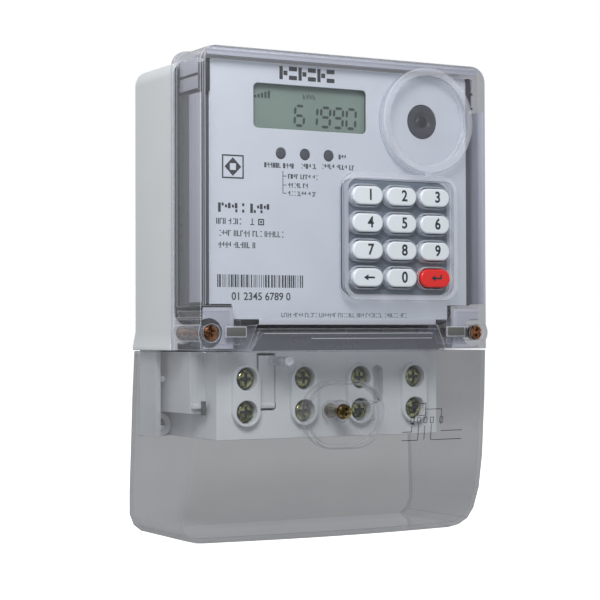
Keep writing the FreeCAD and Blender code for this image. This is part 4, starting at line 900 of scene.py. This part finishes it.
def make_lamps():
    """Domed dark windows of the three status lamps, and the optical eye with its lens."""
    front = -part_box("name_plate")[0].y / MM
    dome = [(radius, front + rise) for radius, rise in LAMP_DOME]
    for number, x in enumerate(LAMP_PLACES, start=1):
        finish_piece(turned("lamp_window_%d" % number, dome, x, LAMP_HEIGHT), "dark_window")
    x, z, top, back = axis_place("optical_window")
    eye = turned("optical_eye", [
        (3.0, top - 0.55), (3.15, top - 0.5), (3.6, top - 0.12), (3.9, top), (6.3, top), (6.7, top - 0.12),
        (6.85, top - 0.4), (6.85, back)], x, z, 56)
    finish_piece(eye, "dark_window", METER, ("optical_window",))
    pupil = turned("optical_lens", [
        (0.4, top - 0.02), (1.1, top - 0.08), (1.8, top - 0.24), (2.3, top - 0.5), (2.4, top - 0.6)], x, z)
    finish_piece(pupil, "part_black")


# The connection drawing: uprights as x, low and high, level lines as left, right and height, and boxes as
# their left ends.
DRAWING_LINE = 0.28
DRAWING_UPRIGHTS = [
    (31.0, -70.2, -61.2), (36.2, -66.0, -61.2), (33.2, -76.2, -69.6), (36.2, -76.2, -70.4),
    (39.4, -76.2, -69.8), (44.0, -70.0, -63.6), (30.0, -73.0, -70.2),
]
DRAWING_LEVELS = [
    (31.3, 36.2, -61.5), (36.5, 44.0, -63.9), (25.6, 30.0, -73.0), (25.6, 33.2, -76.4),
    (39.7, 54.6, -76.4), (44.3, 54.6, -72.8), (31.4, 36.2, -66.3),
]
DRAWING_BOXES = (29.4, 32.6, 35.7, 38.8, 43.4)


def make_lid_drawing():
    """A plain connection drawing printed on the terminal cover's front, following its slope."""
    line = DRAWING_LINE
    outlines = [block(x, x + line, low, high) for x, low, high in DRAWING_UPRIGHTS]
    outlines += [block(left, right, z, z + line) for left, right, z in DRAWING_LEVELS]
    for x in DRAWING_BOXES:
        outlines.append(block(x, x + 1.7, -69.4, -66.9))
        outlines.append(block(x + 0.25, x + 1.45, -69.15, -67.15))
    drawing = print_marks("lid_drawing", outlines, 70.0, 0.0)
    laid = drawing.modifiers.new("laid", "SHRINKWRAP")
    laid.target = bpy.data.objects["terminal_cover_piece"]
    laid.wrap_method = "PROJECT"
    laid.use_project_y = True
    laid.use_positive_direction = True
    laid.use_negative_direction = False
    laid.offset = 0.05 * MM
    pick(drawing)
    bpy.ops.object.modifier_apply(modifier=laid.name)
    thick = drawing.modifiers.new("thick", "SOLIDIFY")
    thick.thickness = 0.04 * MM
    thick.offset = 0.0
    bpy.ops.object.modifier_apply(modifier=thick.name)
    finish_piece(drawing, "ink", LID)


# Bars and ribs on the middle: name, low corner, high corner, eased edge, finish, body and slot.
BARS = [
    # A black sheet behind the gap under the main cover, which paints the shadow in that gap.
    ("gap_shadow_sheet", (-43.5, -52.0, -30.9), (43.5, -38.0, -29.9), 0.2, "part_black", METER, "part_black"),
    ("cover_lip", (-40.4, -62.2, -29.5), (40.4, -61.8, -27.3), 0.1, "clear_milk", METER, "clear_cover"),
    ("top_band", (-62.0, -61.2, 73.3), (62.0, -60.9, 76.2), 0.1, "clear_milk", METER, "clear_cover"),
    # The top rib, the side ribs and the port tab wear the painted highlight finish, as bright lines on the
    # cover.
    ("top_rib", (-62.5, -62.1, 75.2), (62.5, -61.8, 75.5), 0.1, "clear_rim", METER, "clear_cover"),
    ("side_rib_1", (-61.6, -62.1, -22.0), (-61.2, -61.8, 59.0), 0.1, "clear_rim", METER, "clear_cover"),
    ("side_rib_2", (-63.4, -62.1, -22.0), (-63.1, -61.8, 74.0), 0.1, "clear_rim", METER, "clear_cover"),
    ("port_tab", (35.9, -62.7, 29.9), (39.1, -61.8, 32.2), 0.1, "clear_rim", METER, "clear_cover"),
    ("side_ledge", (-57.2, -38.0, -62.4), (-50.9, -22.0, -60.6), 0.2, "case_grey", METER, "case_grey"),
    # A dark block that paints the shade inside the ledge's slot.
    ("ledge_slot_shade", (-53.6, -40.2, -64.8), (-52.4, -37.6, -59.4), 0.15, "window_dark", METER, "frame_dark"),
    # Two thin bars in the highlight finish that paint the highlight lines across the tongue.
    ("tongue_highlight_1", (-38.6, -63.12, -33.06), (38.6, -62.9, -32.74), 0.05, "clear_rim", LID, "clear_cover"),
    ("tongue_highlight_2", (-18.0, -63.12, -35.06), (38.0, -62.9, -34.74), 0.05, "clear_rim", LID, "clear_cover"),
]

# Bars on both sides: name, their two ends' distance from the middle, low and high corner as y and z,
# eased edge, finish and slot.
SIDE_BARS = [
    # The corner frames wear the painted highlight finish, as a bright rim round each dark corner window.
    ("corner_frame_%s", (45.7, 54.9), (-62.2, -34.4), (-61.6, -30.1), 0.15, "clear_rim", "clear_cover"),
    ("corner_window_%s", (46.2, 54.4), (-62.3, -33.9), (-61.8, -30.6), 0.12, "window_dark", "frame_dark"),
    ("frame_hook_%s_1", (61.5, 63.6), (-55.6, 65.95), (-38.6, 66.85), 0.2, "part_black", "part_black"),
    ("frame_hook_%s_2", (61.5, 63.6), (-55.6, 59.95), (-38.6, 60.85), 0.2, "part_black", "part_black"),
    ("frame_band_%s", (62.9, 63.3), (-55.4, 60.0), (-39.6, 72.6), 0.1, "clear_milk", "clear_cover"),
    ("edge_band_%s", (64.4, 64.8), (-61.4, -21.0), (-51.2, 58.6), 0.1, "clear_milk", "clear_cover"),
    # Two thin bars on each side in the highlight finish, which paint the bright lines along the cover's side.
    ("edge_line_%s_1", (64.4, 64.8), (-51.35, -21.0), (-51.0, 58.6), 0.08, "clear_rim", "clear_cover"),
    ("edge_line_%s_2", (64.4, 64.8), (-56.75, -21.0), (-56.4, 58.6), 0.08, "clear_rim", "clear_cover"),
    ("frame_clip_%s", (59.15, 60.7), (-57.9, 59.2), (-55.9, 72.4), 0.2, "part_black", "part_black"),
]

# The web behind each corner, the clearance round its seal screw, and the two rings of the tamper pin.
WEB_ENDS = (50.2, 63.0)
WEB_LOW, WEB_HIGH = (-59.6, -38.8), (-58.6, -22.9)
WEB_CUT = [(5.7, 64.0), (5.7, 55.0)]
PIN_PLACE = (-26.9, -43.8)
PIN_DEPTHS = (61.6, 51.4)
PIN_RING = [(0.7, 0.3), (0.95, 0.0), (1.75, 0.0), (1.75, 0.5)]
TONGUE_SHADE = [(-42.8, -39.6), (42.8, -39.6), (38.6, -32.9), (-38.6, -32.9)]


def mirrored_slab(name, side, ends, low, high, edge):
    """A bar on one side of the middle; low and high are its corners as y and z."""
    left, right = sorted((side * ends[0], side * ends[1]))
    return slab(name, (left, *low), (right, *high), edge)


def make_small_parts():
    """Bars, ribs and webs of the covers, the frame's hooks and clips, and the rings of the tamper pin."""
    for name, low, high, edge, finish, body, kind in BARS:
        finish_piece(slab(name, low, high, edge), finish, body)
    for side, side_name in ((-1.0, "left"), (1.0, "right")):
        for name, ends, low, high, edge, finish, kind in SIDE_BARS:
            finish_piece(mirrored_slab(name % side_name, side, ends, low, high, edge), finish, METER)
        web = mirrored_slab("corner_web_" + side_name, side, WEB_ENDS, WEB_LOW, WEB_HIGH, 0.3)
        x, z = axis_place("seal_screw_" + side_name)[:2]
        subtract(web, turned("web_cutter", WEB_CUT, x, z, 48))
        finish_piece(web, "clear_milk", METER)
    shade = print_marks("tongue_shade", [TONGUE_SHADE], 61.0, 0.5)
    finish_piece(shade, "tongue_shade", LID)
    for number, depth in enumerate(PIN_DEPTHS, start=1):
        rings = [(radius, depth - back) for radius, back in PIN_RING]
        ring = turned("pin_ring_%d" % number, rings, *PIN_PLACE, 32)
        # The pin rings wear the painted highlight finish, as two bright rings.
        finish_piece(ring, "clear_rim", LID)


# ---------------------------------------------------------------- the meter

def make_shells():
    """The moulded shells, eased along their edges."""
    eased("base_case", "case_grey", 0.35, segments=2)
    # The main cover's eased edges and the front faces of its lip take the painted highlight finish.
    eased("main_cover", "clear_cover", 0.3, rim="clear_rim",
          picks_painted_rim=lambda spot, normal: spot.y < -62.2 and normal.y < -0.9)
    # The terminal cover's eased edges and back rim faces take the painted reflection finish.
    eased("terminal_cover", "lower_cover", 0.35, LID, rim="lower_rim",
          picks_painted_rim=lambda spot, normal: spot.y > -1.0)
    eased("inner_frame", "frame_dark", 0.3)
    eased("name_plate", "plate_print", 0.12, segments=1)
    eased("terminal_block", "case_grey", 0.4)
    eased("keypad_mat", "mat_rubber", 0.25)
    eased("tamper_lever", "case_grey", 0.2, "lever")


def dress_nodes():
    """The nodes that stay as they are get the finish of their slot."""
    for node in NODES.values():
        for index, paint in enumerate(node.data.materials):
            name = paint.name.split(".")[0]
            if name in FINISHES:
                node.material_slots[index].material = FINISHES[name]


make_camera()
FINISHES = make_finishes()
make_studio()
make_floor()
dress_nodes()
make_shells()
make_keys()
make_terminal_screws()
make_seal_screws()
make_display()
make_plate_prints()
make_lamps()
make_lid_drawing()
make_small_parts()
